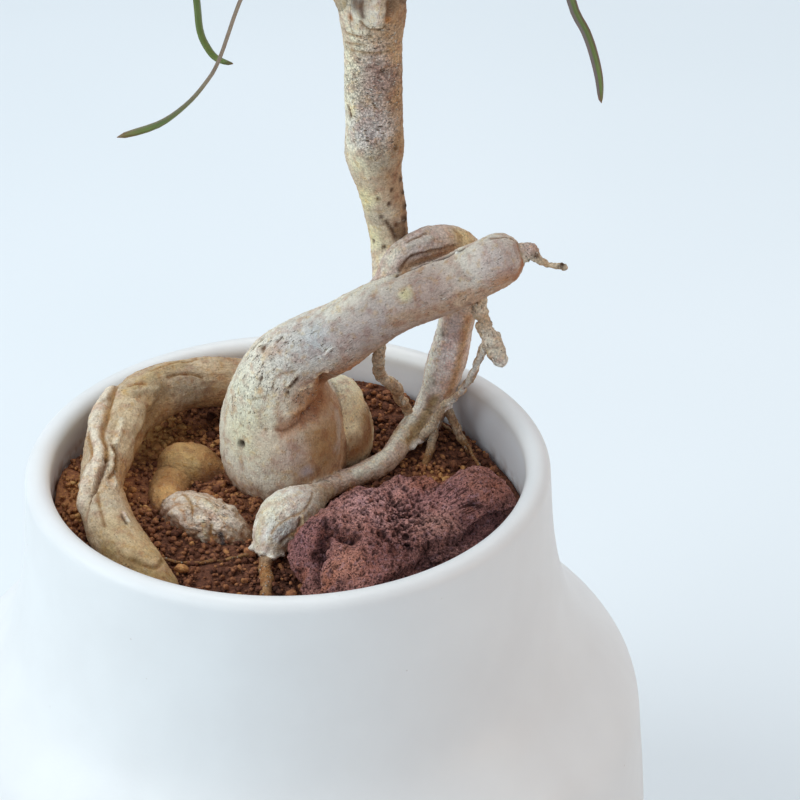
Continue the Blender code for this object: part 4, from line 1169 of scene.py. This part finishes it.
def free_of_wood(x, y, lines):
    """Whether the soil's surface shows at a place, clear of roots and of the stone."""
    place = (x, y, soil_height(x, y))
    gaps = np.linalg.norm(lines[:, PLACE] - place, axis=1) - lines[:, RADIUS]
    if gaps.min() < -GRAIN_SINKS[0]:
        return False
    way = Vector(place) - Vector(STONE_CENTRE)
    return way.length > stone_reach(way.normalized()) - GRAIN_SINKS[1]


def scatter_grains(name, count, sizes, subdivisions, seed, lines):
    """Grains of soil strewn over the bed, each half sunk into it."""
    chance = random.Random(seed)
    shapes = [grain_shape(chance, subdivisions) for number in range(GRAIN_SHAPES)]
    mouth = LIP_RADIUS - LIP_ROUND - sizes[1]
    points, corners, shades = [], [], []
    total = 0
    for number in range(count):
        reach = mouth * math.sqrt(chance.random())
        turn = chance.uniform(0, 2 * math.pi)
        size = between(sizes, chance.random() ** 2)
        shade = chance.gauss(*GRAIN_SHADE)
        spin = Matrix.Rotation(chance.uniform(0, 6.3), 3, Vector((chance.random(), chance.random(), 1.0)))
        lift = chance.uniform(*GRAIN_LIFT)
        shape = chance.choice(shapes)
        x, y = reach * math.cos(turn), reach * math.sin(turn)
        if not free_of_wood(x, y, lines):
            continue
        place = np.array((x, y, soil_height(x, y) + lift * size))
        points.append(shape[0] @ np.array(spin) * size + place)
        corners.append(shape[1] + total)
        shades.append(np.full(len(shape[0]), heaped(x, y, shade, SOIL_SHADES)))
        total += len(shape[0])
    mesh = bpy.data.meshes.new(name)
    mesh.from_pydata((np.concatenate(points) * MM).tolist(), [], np.concatenate(corners).tolist())
    mesh.shade_smooth()
    grains = link(name, mesh)
    mark(grains, shade=np.concatenate(shades))
    place_piece(grains, soil_finish(name), "soil")


def stone_reach(way):
    """Distance from the stone's centre to its surface, where its furthest lump ends."""
    centre = Vector(STONE_CENTRE)
    reach = 0.0
    for x, y, z, *sizes in STONE_LUMPS:
        start = centre - Vector((x, y, z))
        a = sum((way[axis] / sizes[axis]) ** 2 for axis in range(3))
        b = sum(way[axis] * start[axis] / sizes[axis] ** 2 for axis in range(3))
        c = sum((start[axis] / sizes[axis]) ** 2 for axis in range(3)) - 1.0
        inside = b * b - a * c
        if inside > 0.0:
            reach = max(reach, (math.sqrt(inside) - b) / a)
    return reach


def roughness(way, pattern):
    closeness, place = pattern
    return noise.noise(way * closeness + Vector(place))


def stone_finish():
    """Scoria: gritty, with many small pores darkened by their depth as painted shade."""
    finish = Finish("scoria", 0.92)
    grit = finish.noise(2.4, 8.0)
    grains = finish.scale(finish.cells(3.2), 0.15, 0.75, 1.22, 0.72)
    shade = finish.times(finish.scale(grit, 0.30, 0.70, 0.66, 1.26), grains)
    base = finish.mix(1.0, finish.attribute("tint", "Color"), shade, "MULTIPLY")
    base = finish.mix(finish.patches(0.5, 4.0, 0.56, 0.72, 0.0, 0.4), base, tone(182, 116, 92))
    base = finish.mix(finish.patches(0.9, 4.0, 0.54, 0.68, 0.0, 0.35), base, tone(170, 136, 146))
    small = finish.dots(1.3, 0.16, 0.30, finish.swayed(finish.place, 1.6, 0.5))
    tiny = finish.dots(2.6, 0.16, 0.34, finish.swayed(finish.place, 2.2, 0.5))
    pits = finish.larger(finish.times(small, 0.7), finish.times(tiny, 0.8))
    fleck = finish.patches(3.6, 3.0, 0.60, 0.72, 0.0, 0.55, finish.moved(13.0))
    base = finish.mix(fleck, base, tone(214, 166, 152))
    # pores and pits are darkened by their depth: painted shade in the hollows
    pore = finish.larger(finish.attribute("pore"), pits)
    finish.set("Base Color", finish.mix(finish.times(pore, 0.92), base, tone(52, 30, 30)))
    finish.set("Specular IOR Level", 0.15)
    rough = finish.bump(grit, 0.45)
    rough = finish.bump(grains, 0.12, under=rough)
    finish.set("Normal", finish.bump(pits, -0.40, under=rough))
    return finish


def sink(skin, spot, reach, pore):
    """Press a round hollow into a skin about a spot and note how deep each point lies in it."""
    for place, index, gap in skin.tree.find_range(spot, reach):
        share = math.sqrt(max(0.0, 1.0 - (gap / reach) ** 2))
        skin.places[index] -= skin.normals[index] * reach * share
        pore[index] = max(pore[index], share)


def make_stone():
    """A rough oblong stone of a few lumps, full of pores, with clefts and one deep ledge."""
    shape = bmesh.new()
    bmesh.ops.create_icosphere(shape, subdivisions=STONE_FACES, radius=1.0)
    for point in shape.verts:
        way = point.co.normalized()
        rough = roughness(way, STONE_COARSE) + roughness(way, STONE_FINE)
        point.co = way * (stone_reach(way) + STONE_ROUGH * rough) + Vector(STONE_CENTRE)
        point.co.z = max(point.co.z, STONE_FOOT)
    stone = add_object("porous_stone", shape)
    alter(stone, "SMOOTH", factor=0.5, iterations=STONE_EASE)
    settle(stone)
    carve_stone(stone)
    place_piece(stone, stone_finish(), "lava_stone", "lava_stone")


def carve_stone(stone):
    """Lumps, clefts and pores on the stone's surface, and its colours."""
    chance = random.Random(PORE_SEED)
    skin = Skin(stone)
    dull, bright, rust = np.array(STONE_TINTS)
    for index, place in enumerate(skin.places):
        spot = Vector(place)
        lump = noise.noise(spot * 0.22) * 0.8 + noise.noise(spot * 0.5) * 0.4
        crag = abs(noise.noise(spot * 0.34 + UP * 9.0)) * 0.8
        grit = noise.noise(spot * 1.1) * 0.20 + noise.noise(spot * 2.2) * 0.16
        share = min(1.0, max(0.0, 0.5 + 1.1 * noise.noise(spot * 0.16 + UP * 3.0)))
        rusty = soften(1.5 * noise.noise(spot * 0.2 + UP * 5.0))
        skin.tints[index] = (dull * (1.0 - share) + bright * share) * (1.0 - rusty) + rust * rusty
        skin.places[index] += skin.normals[index] * (lump + grit - crag)
    skin.draw(STONE_SPOTS, STONE_STROKES)
    pore = np.zeros(len(skin.places))
    spots = [tuple(place) for place in places_of(stone)]
    for number in range(PORES):
        reach = between(PORE_RADIUS, chance.random() ** 3)
        sink(skin, chance.choice(spots), reach, pore)
    skin.places[:, 2] = np.maximum(skin.places[:, 2], STONE_FOOT)
    skin.settle()
    mark(stone, pore=pore)


def centre_lines(roots):
    """Points along every root with radius, distance along it, its own directions and its number."""
    rows = []
    for number, (points, kind) in enumerate(roots):
        line = smooth_line(points, ROOT_STEPS)
        side = UP.orthogonal()
        run = 0.0
        for index, (x, y, z, radius) in enumerate(line):
            place = Vector((x, y, z))
            ahead = Vector(line[min(index + 1, len(line) - 1)][:3])
            behind = Vector(line[max(index - 1, 0)][:3])
            along = (ahead - behind).normalized()
            side = (side - along * side.dot(along)).normalized()
            if index:
                run += (place - behind).length
            rows.append((*place, radius, run, *along, *side, *along.cross(side), number))
    return np.array(rows)


def dot(rows, others):
    """Dot product of each row with the other's."""
    return np.einsum("ij,ij->i", rows, others)


def read_grain(places, lines):
    """For each place: distance along its root, offsets from the root's middle, and the root's number."""
    best = np.full(len(places), np.inf)
    near = np.zeros(len(places), int)
    for index, row in enumerate(lines):
        gap = np.linalg.norm(places - row[PLACE], axis=1) - row[RADIUS]
        closer = gap < best
        best[closer] = gap[closer]
        near[closer] = index
    here = lines[near]
    past = dot(places - here[:, PLACE], here[:, ALONG]) >= 0.0
    other = np.clip(np.where(past, near + 1, near - 1), 0, len(lines) - 1)
    other = np.where(lines[other, NUMBER] == here[:, NUMBER], other, near)
    there = lines[other]
    before = np.abs(dot(places - here[:, PLACE], here[:, ALONG]))
    after = np.abs(dot(places - there[:, PLACE], there[:, ALONG]))
    share = (before / np.maximum(before + after, 1e-6))[:, None]
    mixed = here * (1.0 - share) + there * share
    offset = places - mixed[:, PLACE]
    grain = np.stack([mixed[:, RUN], dot(offset, mixed[:, SIDE]), dot(offset, mixed[:, ACROSS])], axis=1)
    return grain, here[:, NUMBER].astype(int)


def ridge(value, sharpness):
    """One where the value is nought, falling off to either side."""
    return max(0.0, 1.0 - abs(value) * sharpness)


def bark_scale(spot, grain):
    """Height of the scale of bark at a place, from 0 to 1, and how near to its rim the place is."""
    along, side, across = grain
    close, closer = SCALE_CLOSE
    bent = Vector((along * close, side * closer, across * closer)) + 0.5 * noise.noise_vector(spot * 0.45)
    gaps, middles = noise.voronoi(bent)
    return 0.5 + 0.5 * noise.cell(middles[0] * 9.0), max(0.0, 1.0 - (gaps[1] - gaps[0]) * 6.0)


def bark_at(spot, grain, heights):
    """Relief of the bark, and how much of it is crack and how much is the rim of a scale."""
    lumps, wrinkles, cracks, rings, scales = heights[:5]
    along, side, across = grain
    lump = noise.noise(spot * 0.13) + 0.35 * noise.noise(spot * 0.4) + 0.22 * noise.noise(spot * 0.9)
    relief = lumps * lump
    relief += GRIT * noise.noise(spot * 2.3)
    relief += wrinkles * noise.noise(Vector((along * 0.7, side * 1.5, across * 1.5)))
    where = soften(0.5 + 1.6 * noise.noise(spot * 0.16 + UP * 7.0))
    crack = where * ridge(noise.noise(Vector((along * 0.13, side * 0.5, across * 0.5))), 11.0)
    relief -= cracks * crack
    crack *= min(1.0, cracks * 9.0)
    if rings:
        bent = along * 0.62 + 0.5 * noise.noise(spot * 0.21)
        ring = ridge(noise.noise(Vector((bent, side * 0.10, across * 0.10))), 6.5)
        relief += rings * (0.35 * noise.noise(Vector((bent * 0.7, 3.0, 1.0))) - ring)
        crack = max(crack, 0.25 * ring)
    rim = 0.0
    if scales:
        height, rim = bark_scale(spot, grain)
        relief += scales * ((height - 0.5) * (1.0 - rim) - 0.35 * rim)
        rim *= min(1.0, scales * 2.5)
    return relief, crack, rim


def bark_tints(skin, kinds, numbers):
    """Colour at each point: paler where it is weathered and faces the light, darker on the side turned from
    it; partly painted light and shade.
    """
    facing = skin.normals @ np.array(WEATHERED_AND_LIT.normalized())
    bends = np.array([noise.noise(Vector(place) * 0.12 + UP * 2.0) for place in skin.places])
    share = np.clip((facing + 0.35 + 0.5 * bends) / 1.1, 0.0, 1.0)
    share = (share * share * (3.0 - 2.0 * share))[:, None]
    pale = np.array([TINTS[kind][0] for kind in kinds])[numbers]
    dark = np.array([TINTS[kind][1] for kind in kinds])[numbers]
    return dark + (pale - dark) * share


def wood_finish():
    """Dry bark: granular, with short dark dashes, pale flakes, cracks and the warm rims of scales."""
    finish = Finish("bark", 0.82)
    grain = finish.attribute("grain", "Vector")
    fine = finish.noise(3.0, 6.0)
    fibre = finish.noise(2.0, 4.0, grain)
    grit = finish.cells(2.0, finish.swayed(finish.place, 2.0, 0.4))
    lines = finish.scale(fibre, 0.25, 0.75, -0.10, 0.10)
    shade = finish.plus(finish.scale(fine, 0.25, 0.75, 0.78, 1.12), lines)
    shade = finish.plus(shade, finish.patches(0.32, 6.0, 0.25, 0.75, -0.12, 0.12))
    grainy = finish.attribute("grainy")
    shade = finish.plus(shade, finish.times(finish.scale(grit, 0.15, 0.75, 0.42, -0.18), grainy))
    base = finish.mix(1.0, finish.attribute("tint", "Color"), shade, "MULTIPLY")
    mauve = finish.patches(0.5, 3.0, 0.48, 0.66, 0.0, 0.8)
    base = finish.mix(mauve, base, tone(228, 208, 204), "MULTIPLY")
    ochre = finish.patches(0.7, 4.0, 0.54, 0.70, 0.0, 0.6, finish.moved(31.0))
    base = finish.mix(ochre, base, tone(246, 224, 184), "MULTIPLY")
    scaly = finish.times(finish.attribute("flaky"), finish.patches(0.7, 3.0, 0.38, 0.54))
    bent = finish.swayed(grain, 0.9, 0.6)
    dash = finish.dots(1.0, 0.15, 0.23, bent)
    dash = finish.larger(dash, finish.dots(1.9, 0.10, 0.18, finish.moved(2.7, bent), 0.8))
    flake = finish.dots(1.0, 0.15, 0.26, finish.moved(0.15, bent))
    flake = finish.larger(flake, finish.dots(1.5, 0.12, 0.22, finish.moved(5.3, bent)))
    flake = finish.times(flake, scaly)
    base = finish.mix(finish.times(flake, 0.85), base, tone(252, 246, 232))
    dots = finish.times(finish.dots(1.2, 0.08, 0.16), finish.patches(0.6, 3.0, 0.47, 0.60))
    speck = finish.larger(finish.times(dash, scaly), finish.times(dots, 0.6))
    base = finish.mix(finish.times(speck, 0.9), base, tone(112, 82, 52))
    rim = finish.times(finish.attribute("edge"), finish.scale(fibre, 0.35, 0.6, 0.3, 0.9))
    base = finish.mix(rim, base, tone(206, 166, 122), "MULTIPLY")
    base = finish.mix(finish.attribute("crack"), base, tone(122, 90, 64))
    finish.set("Base Color", base)
    finish.set("Specular IOR Level", 0.22)
    relief = finish.bump(fine, 0.22)
    relief = finish.bump(fibre, 0.16, under=relief)
    relief = finish.bump(finish.times(grit, grainy), -0.22, under=relief)
    relief = finish.bump(speck, -0.30, under=relief)
    finish.set("Normal", finish.bump(flake, 0.30, under=relief))
    return finish


def remesh(item, grid):
    """Melt overlapping solids into one skin with faces of this size, and ease its creases."""
    alter(item, "REMESH", mode="VOXEL", voxel_size=grid * MM)
    alter(item, "SMOOTH", factor=0.5, iterations=WOOD_EASE)
    settle(item)
    item.data.shade_smooth()


def thin_out(item, most):
    """Merge faces where the surface is flattest until no more than this many triangles are left."""
    item.data.calc_loop_triangles()
    count = len(item.data.loop_triangles)
    if count > most:
        alter(item, "DECIMATE", ratio=most / count)
        settle(item)
        item.data.shade_smooth()


def soil_stain(skin):
    """Tint the wood brown where it meets the soil."""
    for index in np.flatnonzero(skin.places[:, 2] < SOIL_LEVEL + 3 * STAIN_HIGH):
        spot = Vector(skin.places[index])
        share = 1.0 - (spot.z - soil_height(spot.x, spot.y)) / STAIN_HIGH + 0.8 * noise.noise(spot * 0.8)
        share = STAIN_DEEP * soften(share)
        skin.tints[index] = skin.tints[index] * (1.0 - share) + np.array(STAIN) * share


def dress_wood(wood, roots, grid, spots, strokes, *nodes):
    """Melt the roots into one skin and give it bark, with the marks that are seen on it."""
    remesh(wood, grid)
    skin = Skin(wood)
    kinds = [kind for points, kind in roots]
    grain, numbers = read_grain(skin.places, centre_lines(roots))
    skin.tints = bark_tints(skin, kinds, numbers)
    found = [
        bark_at(Vector(place), along, BARK[kinds[number]])
        for place, along, number in zip(skin.places.tolist(), grain.tolist(), numbers.tolist())
    ]
    relief, crack, edge = (np.array(values) for values in zip(*found))
    skin.raise_by(relief)
    soil_stain(skin)
    skin.draw(spots, strokes)
    flaky = np.full(len(skin.places), SCALY_BELOW)
    for x, y, reach, strength in FLAKY:
        for place in skin.seen_at((x, y)):
            flaky = np.maximum(flaky, strength * skin.fade_from(place, reach))
    skin.settle()
    stretch = np.array([ROUND_ABOUT if kind in ("trunk", "branch") else LENGTHWISE for kind in kinds])
    grain *= stretch[numbers][:, [0, 1, 1]]
    grainy = np.array([BARK[kind][5] for kind in kinds])[numbers]
    grainy *= GRAIN_BELOW + (1.0 - GRAIN_BELOW) * flaky
    grain += numbers[:, None] * PATTERN_STEP
    mark(wood, grain=grain, crack=crack, edge=edge, flaky=flaky, grainy=grainy)
    thin_out(wood, WOOD_TRIANGLES)
    place_piece(wood, wood_finish(), "bark", *nodes)


def make_roots():
    """Bulbs, tubers and thick roots in one skin."""
    parts = [tube("root", points, ROOT_SIDES, ROOT_STEPS) for points, kind in ROOTS]
    parts += [tube("root", points, *BURIED_MESH, domed=False) for points in BURIED_ROOTS]
    wood = join("gnarled_roots", parts)
    dress_wood(wood, ROOTS, ROOT_GRID, ROOT_SPOTS, ROOT_STROKES, "roots_and_trunk")


def make_stems():
    """Trunk, branches and twigs in one skin."""
    parts = [tube("stem", points, ROOT_SIDES, ROOT_STEPS) for points, kind in STEMS]
    twigs = [twig_points(branch, tip) for name, branch, tip in TWIGS]
    parts += [tube("twig", points, *TWIG_MESH, domed=False) for points in twigs]
    wood = join("trunk_and_branches", parts)
    dress_wood(wood, STEMS, STEM_GRID, TRUNK_SPOTS, TRUNK_STROKES)


def twig_points(branch, tip):
    """A twig that leaves the end of its branch and turns up towards its tip."""
    end = Vector(BRANCHES[branch][-1][:3])
    before = Vector(BRANCHES[branch][-2][:3])
    root = end.lerp(before, TWIG_ROOT)
    tip = Vector(tip)
    middle = root.lerp(tip, 0.5) - Vector((0.0, 0.0, TWIG_SAG * (tip - root).length))
    return ((*root, TWIG_ROUND), (*middle, 0.5 * (TWIG_ROUND + TWIG_TIP)), (*tip, TWIG_TIP))


def shoot_line(branch, tip):
    """Start and end of the green shoot that carries on from a twig's tip."""
    twig = twig_points(branch, tip)
    along = (Vector(tip) - Vector(twig[1][:3])).normalized()
    way = along.lerp(UP, SHOOT_LIFT).normalized()
    start = Vector(tip) + along * (SHOOT_GAP + 0.5 * SHOOT_ROUND)
    return start, start + way * SHOOT_LENGTH


def leaf_line(root, azimuth, rise, bend, length):
    """Middle line of a leaf that leaves the shoot at the rise and bends down along its length."""
    out = Vector((math.cos(azimuth), math.sin(azimuth), 0.0))
    line = [root]
    for step in range(LEAF_STEPS):
        angle = rise - bend * ((step + 0.5) / LEAF_STEPS) ** LEAF_CURL
        way = out * math.cos(angle) + Vector((0.0, 0.0, math.sin(angle)))
        line.append(line[-1] + way * (length / LEAF_STEPS))
    return line


def above_crown_edge(line):
    return all(point.z > CROWN_EDGE - CROWN_SLOPE * point.y for point in line)


def close_points(line):
    """Points along a leaf from just past its root, close enough together to test its room by."""
    points = [
        start.lerp(end, step / LEAF_TESTS)
        for start, end in zip(line, line[1:])
        for step in range(LEAF_TESTS)
    ]
    return points[1:] + [line[-1]]


def clear_of(line, taken):
    """Whether every part of a leaf keeps its distance from the points taken."""
    return all((point - place).length > room for point in close_points(line) for place, room in taken)


def place_leaf(root, azimuth, rise, length, taken):
    """Try gentler bends and small turns until the leaf hangs clear of all others."""
    for bend, turn in product(BENDS_TRIED, TURNS_TRIED):
        line = leaf_line(root, azimuth + turn, rise, LEAF_BEND * bend, length)
        if above_crown_edge(line) and clear_of(line, taken):
            return line
    return None


def hanging_lines(name, start, end):
    """Middle line of each leaf that hangs from a shoot, and its looks."""
    return [([start.lerp(end, share), *(Vector(place) for place in points)], looks)
            for share, looks, points in HANGING_LEAVES.get(name, ())]


def points_taken():
    """Points along the wood, the shoots and the hanging leaves, with the room kept round them."""
    twigs = [twig_points(branch, tip) for name, branch, tip in TWIGS]
    taken = []
    for points in (*BRANCHES, *twigs, TRUNK, SPUR):
        line = smooth_line(points, 2 * LEAF_TESTS)
        taken += [(Vector(place[:3]), place[3] + WOOD_CLEAR) for place in line]
    for name, branch, tip in TWIGS:
        for line, looks in hanging_lines(name, *shoot_line(branch, tip)):
            taken += [(Vector(place), LEAF_CLEAR) for place in smooth_line(line, LEAF_TESTS)[HANGING_FREE:]]
    return taken


def shoot_leaves(number, taken):
    """Middle lines of the leaves that stand round one shoot, lowest first."""
    start, end = shoot_line(*TWIGS[number][1:])
    lines = []
    for index in range(LEAVES_ON_A_SHOOT):
        share = (index + 1) / LEAVES_ON_A_SHOOT
        azimuth = LEAF_TURN * index + SHOOT_TURN * number
        rise = between(LEAF_RISE, share)
        length = between(LEAF_LENGTH, share)
        lines.append(place_leaf(start.lerp(end, share), azimuth, rise, length, taken))
    return [line for line in lines if line]


def blade_width(share, width, tapering):
    """Half the width of a blade at a share of its length: narrow at the stalk, pointed at the tip."""
    return 0.5 * width * min(1.0, STALK_WIDTH + WIDENING * share) * (1.0 - share ** tapering) ** 0.6


def blade(line, width, turns=None, dry=0.0, rimmed=0.0):
    """A narrow pointed leaf, hollow above and with a midrib below, perhaps turned from the viewer."""
    path = [Vector(place) for place in smooth_line([tuple(place) for place in line], BLADE_STEPS)]
    shape = bmesh.new()
    layers = [shape.verts.layers.float.new(name) for name in ("along", "across", "rimmed", "dry")]
    side = (path[1] - path[0]).cross(UP).normalized()
    loops = []
    for index, place in enumerate(path):
        share = index / (len(path) - 1)
        along = (path[min(index + 1, len(path) - 1)] - path[max(index - 1, 0)]).normalized()
        if turns:
            turn = between(turns, share ** TURN_LATE)
            level = along.cross(place - camera_place()).normalized()
            side = level * math.cos(turn) + level.cross(along) * math.sin(turn)
        side = (side - along * side.dot(along)).normalized()
        out = side.cross(along)
        half = blade_width(share, width, HANGING_TAPER if turns else LEAF_TAPER)
        thick = BLADE_THICK * (0.45 + 0.55 * (1.0 - share)) * min(1.0, 0.2 + half)
        half = max(half, BLADE_END)
        dried = dry * (1.0 - soften((share - DRY_TO[0]) / (DRY_TO[1] - DRY_TO[0])))
        loops.append([])
        for across, high in BLADE_RIM:
            fold = BLADE_FOLD * abs(across) ** 1.5 * half
            point = shape.verts.new(place + side * across * half + out * (fold + high * thick))
            for layer, value in zip(layers, (share, across, rimmed, dried)):
                point[layer] = value
            loops[-1].append(point)
    close_tube(shape, loops)
    return add_object("blade", shape)


def young_leaves(start, end, chance):
    """Short leaves that stand close round the tip of a shoot."""
    lines = []
    for index in range(YOUNG_LEAVES):
        length = between(YOUNG_LENGTH, 1.0 - index / YOUNG_LEAVES)
        rise = math.radians(YOUNG_RISE + YOUNG_RISE_STEP * index)
        bend = math.radians(chance.uniform(*YOUNG_BEND))
        lines.append(leaf_line(start.lerp(end, YOUNG_PLACE), LEAF_TURN * index + 1.0, rise, bend, length))
    return lines


def leaf_finish():
    """Dark green, with a paler midrib, reddish edges and a brownish stalk and tip."""
    finish = Finish("leaf", 0.42)
    across = finish.attribute("across")
    away = finish.work("ABSOLUTE", across)
    along = finish.attribute("along")
    green = finish.mix(finish.patches(0.12, 4.0, 0.3, 0.7), tone(92, 112, 50), tone(116, 136, 70))
    vein = finish.scale(away, 0.0, 0.16, 0.5, 0.0)
    green = finish.mix(vein, green, tone(146, 158, 104))
    rim = finish.times(finish.scale(away, 0.36, 0.80, 0.0, 0.95), finish.attribute("rimmed"))
    edge = finish.mix(finish.scale(across, -0.3, 0.3), tone(118, 104, 98), tone(112, 76, 46))
    green = finish.mix(rim, green, edge)
    dried = finish.mix(finish.patches(0.5, 3.0, 0.3, 0.7), tone(150, 134, 116), tone(168, 152, 132))
    green = finish.mix(finish.attribute("dry"), green, dried)
    ends = finish.larger(finish.scale(along, 0.0, 0.14, 0.6, 0.0), finish.scale(along, 0.93, 1.0, 0.0, 0.8))
    finish.set("Base Color", finish.mix(ends, green, tone(130, 88, 62)))
    finish.set("Roughness", finish.patches(0.8, 4.0, 0.3, 0.7, 0.36, 0.56))
    finish.set("Subsurface Weight", 0.08)
    finish.set("Subsurface Scale", 0.0006)
    cells = finish.bump(finish.noise(3.0, 4.0), 0.06)
    lengthwise = finish.moved(0.0, finish.attribute("grain", "Vector"), (0.15, 3.0, 0.15))
    finish.set("Normal", finish.bump(finish.noise(1.0, 2.0, lengthwise), 0.07, under=cells))
    return finish


def make_leaves():
    """A spray of leaves at the end of each twig, standing where its solid stands."""
    taken = points_taken()
    chance = random.Random(LEAF_SEED)
    finish = leaf_finish()
    for number, (name, branch, tip) in enumerate(TWIGS):
        start, end = shoot_line(branch, tip)
        others = [shoot_line(*twig[1:]) for twig in TWIGS if twig[0] != name]
        stems = [low.lerp(high, step / STEM_TESTS) for low, high in others for step in range(STEM_TESTS + 1)]
        lines = shoot_leaves(number, taken + [(place, LEAF_CLEAR) for place in stems])
        taken += [(place, LEAF_CLEAR) for line in lines for place in close_points(line)]
        parts = [blade(line, LEAF_WIDTH, rimmed=index % 3 * 0.5) for index, line in enumerate(lines)]
        parts += [blade(line, YOUNG_WIDTH, rimmed=0.6) for line in young_leaves(start, end, chance)]
        parts += [blade(line, HANGING_WIDTH, *looks) for line, looks in hanging_lines(name, start, end)]
        root = start - (end - start).normalized() * SHOOT_SUNK
        stem = ((*root, TWIG_TIP), (*start.lerp(end, 0.2), SHOOT_ROUND), (*end, SHOOT_TIP))
        spray = join("spray_" + name, [tube("stem", stem, *STEM_MESH), *parts])
        places = places_of(spray)
        places[:, 2] = np.minimum(places[:, 2], CROWN_TOP)
        put_places(spray, places)
        mark_grain(spray)
        place_piece(spray, finish, "leaf", "leaves_" + name)


def mark_grain(spray):
    """Coordinates along and across each blade, for the fine lines in its skin."""
    grain = np.zeros((len(spray.data.vertices), 3), np.float32)
    for column, name in enumerate(("along", "across")):
        values = np.zeros(len(grain), np.float32)
        spray.data.attributes[name].data.foreach_get("value", values)
        grain[:, column] = values
    mark(spray, grain=grain)


def make_thin_roots():
    """Thin roots and hair roots, each an uneven, wavy tube."""
    parts = [tube("thin_root", uneven(points, *THIN_WAVES), *THIN_MESH) for points in THIN_ROOTS]
    parts += [tube("hair_root", uneven(points, *HAIR_WAVES), *HAIR_MESH) for points in HAIR_ROOTS]
    thin = join("thin_roots", parts)
    skin = Skin(thin)
    skin.raise_by([0.20 * noise.noise(Vector(place) * 1.1) + 0.14 * noise.noise(Vector(place) * 2.6)
                   for place in skin.places])
    bends = np.array([noise.noise(Vector(place) * 0.3) for place in skin.places])
    # paler where they face up, painted light from above, and in random patches
    share = np.clip(0.5 + 0.9 * bends + 0.25 * skin.normals[:, 2], 0.0, 1.0)[:, None]
    pale, dark, stain = np.array(THIN_TINTS)
    skin.tints = dark + (pale - dark) * share
    stained = np.clip((STAINED_BELOW - skin.places[:, 2]) / STAIN_FADES, 0.0, 1.0)[:, None]
    skin.tints += (stain - skin.tints) * stained
    skin.draw(THIN_SPOTS, THIN_STROKES)
    skin.settle()
    bare = np.zeros(len(skin.places))
    mark(thin, grain=skin.places * THIN_GRAIN, crack=bare, edge=bare, flaky=bare + 0.6, grainy=bare + 0.8)
    place_piece(thin, wood_finish(), "bark")


def uneven(points, steps, sway, swell):
    """The smooth line of a thin root, swayed aside and made thicker and thinner along it."""
    line = []
    for x, y, z, radius in smooth_line(points, steps):
        spot = Vector((x, y, z))
        push = Vector([noise.noise(spot * 0.4 + UP * 11.0 * axis) for axis in range(3)]) * sway
        line.append((*(spot + push), radius * (1.0 + swell * noise.noise(spot * 0.7 + UP * 40.0))))
    return line


noise.seed_set(SCALE_SEED)
make_camera()
make_studio()
make_pot()
make_soil_bed()
make_stone()
make_roots()
make_stems()
make_thin_roots()
make_leaves()
lines = centre_lines(ROOTS)
scatter_grains("small_grains", SMALL_GRAINS, SMALL_GRAIN, 1, SMALL_SEED, lines)
scatter_grains("large_grains", LARGE_GRAINS, LARGE_GRAIN, 2, LARGE_SEED, lines)
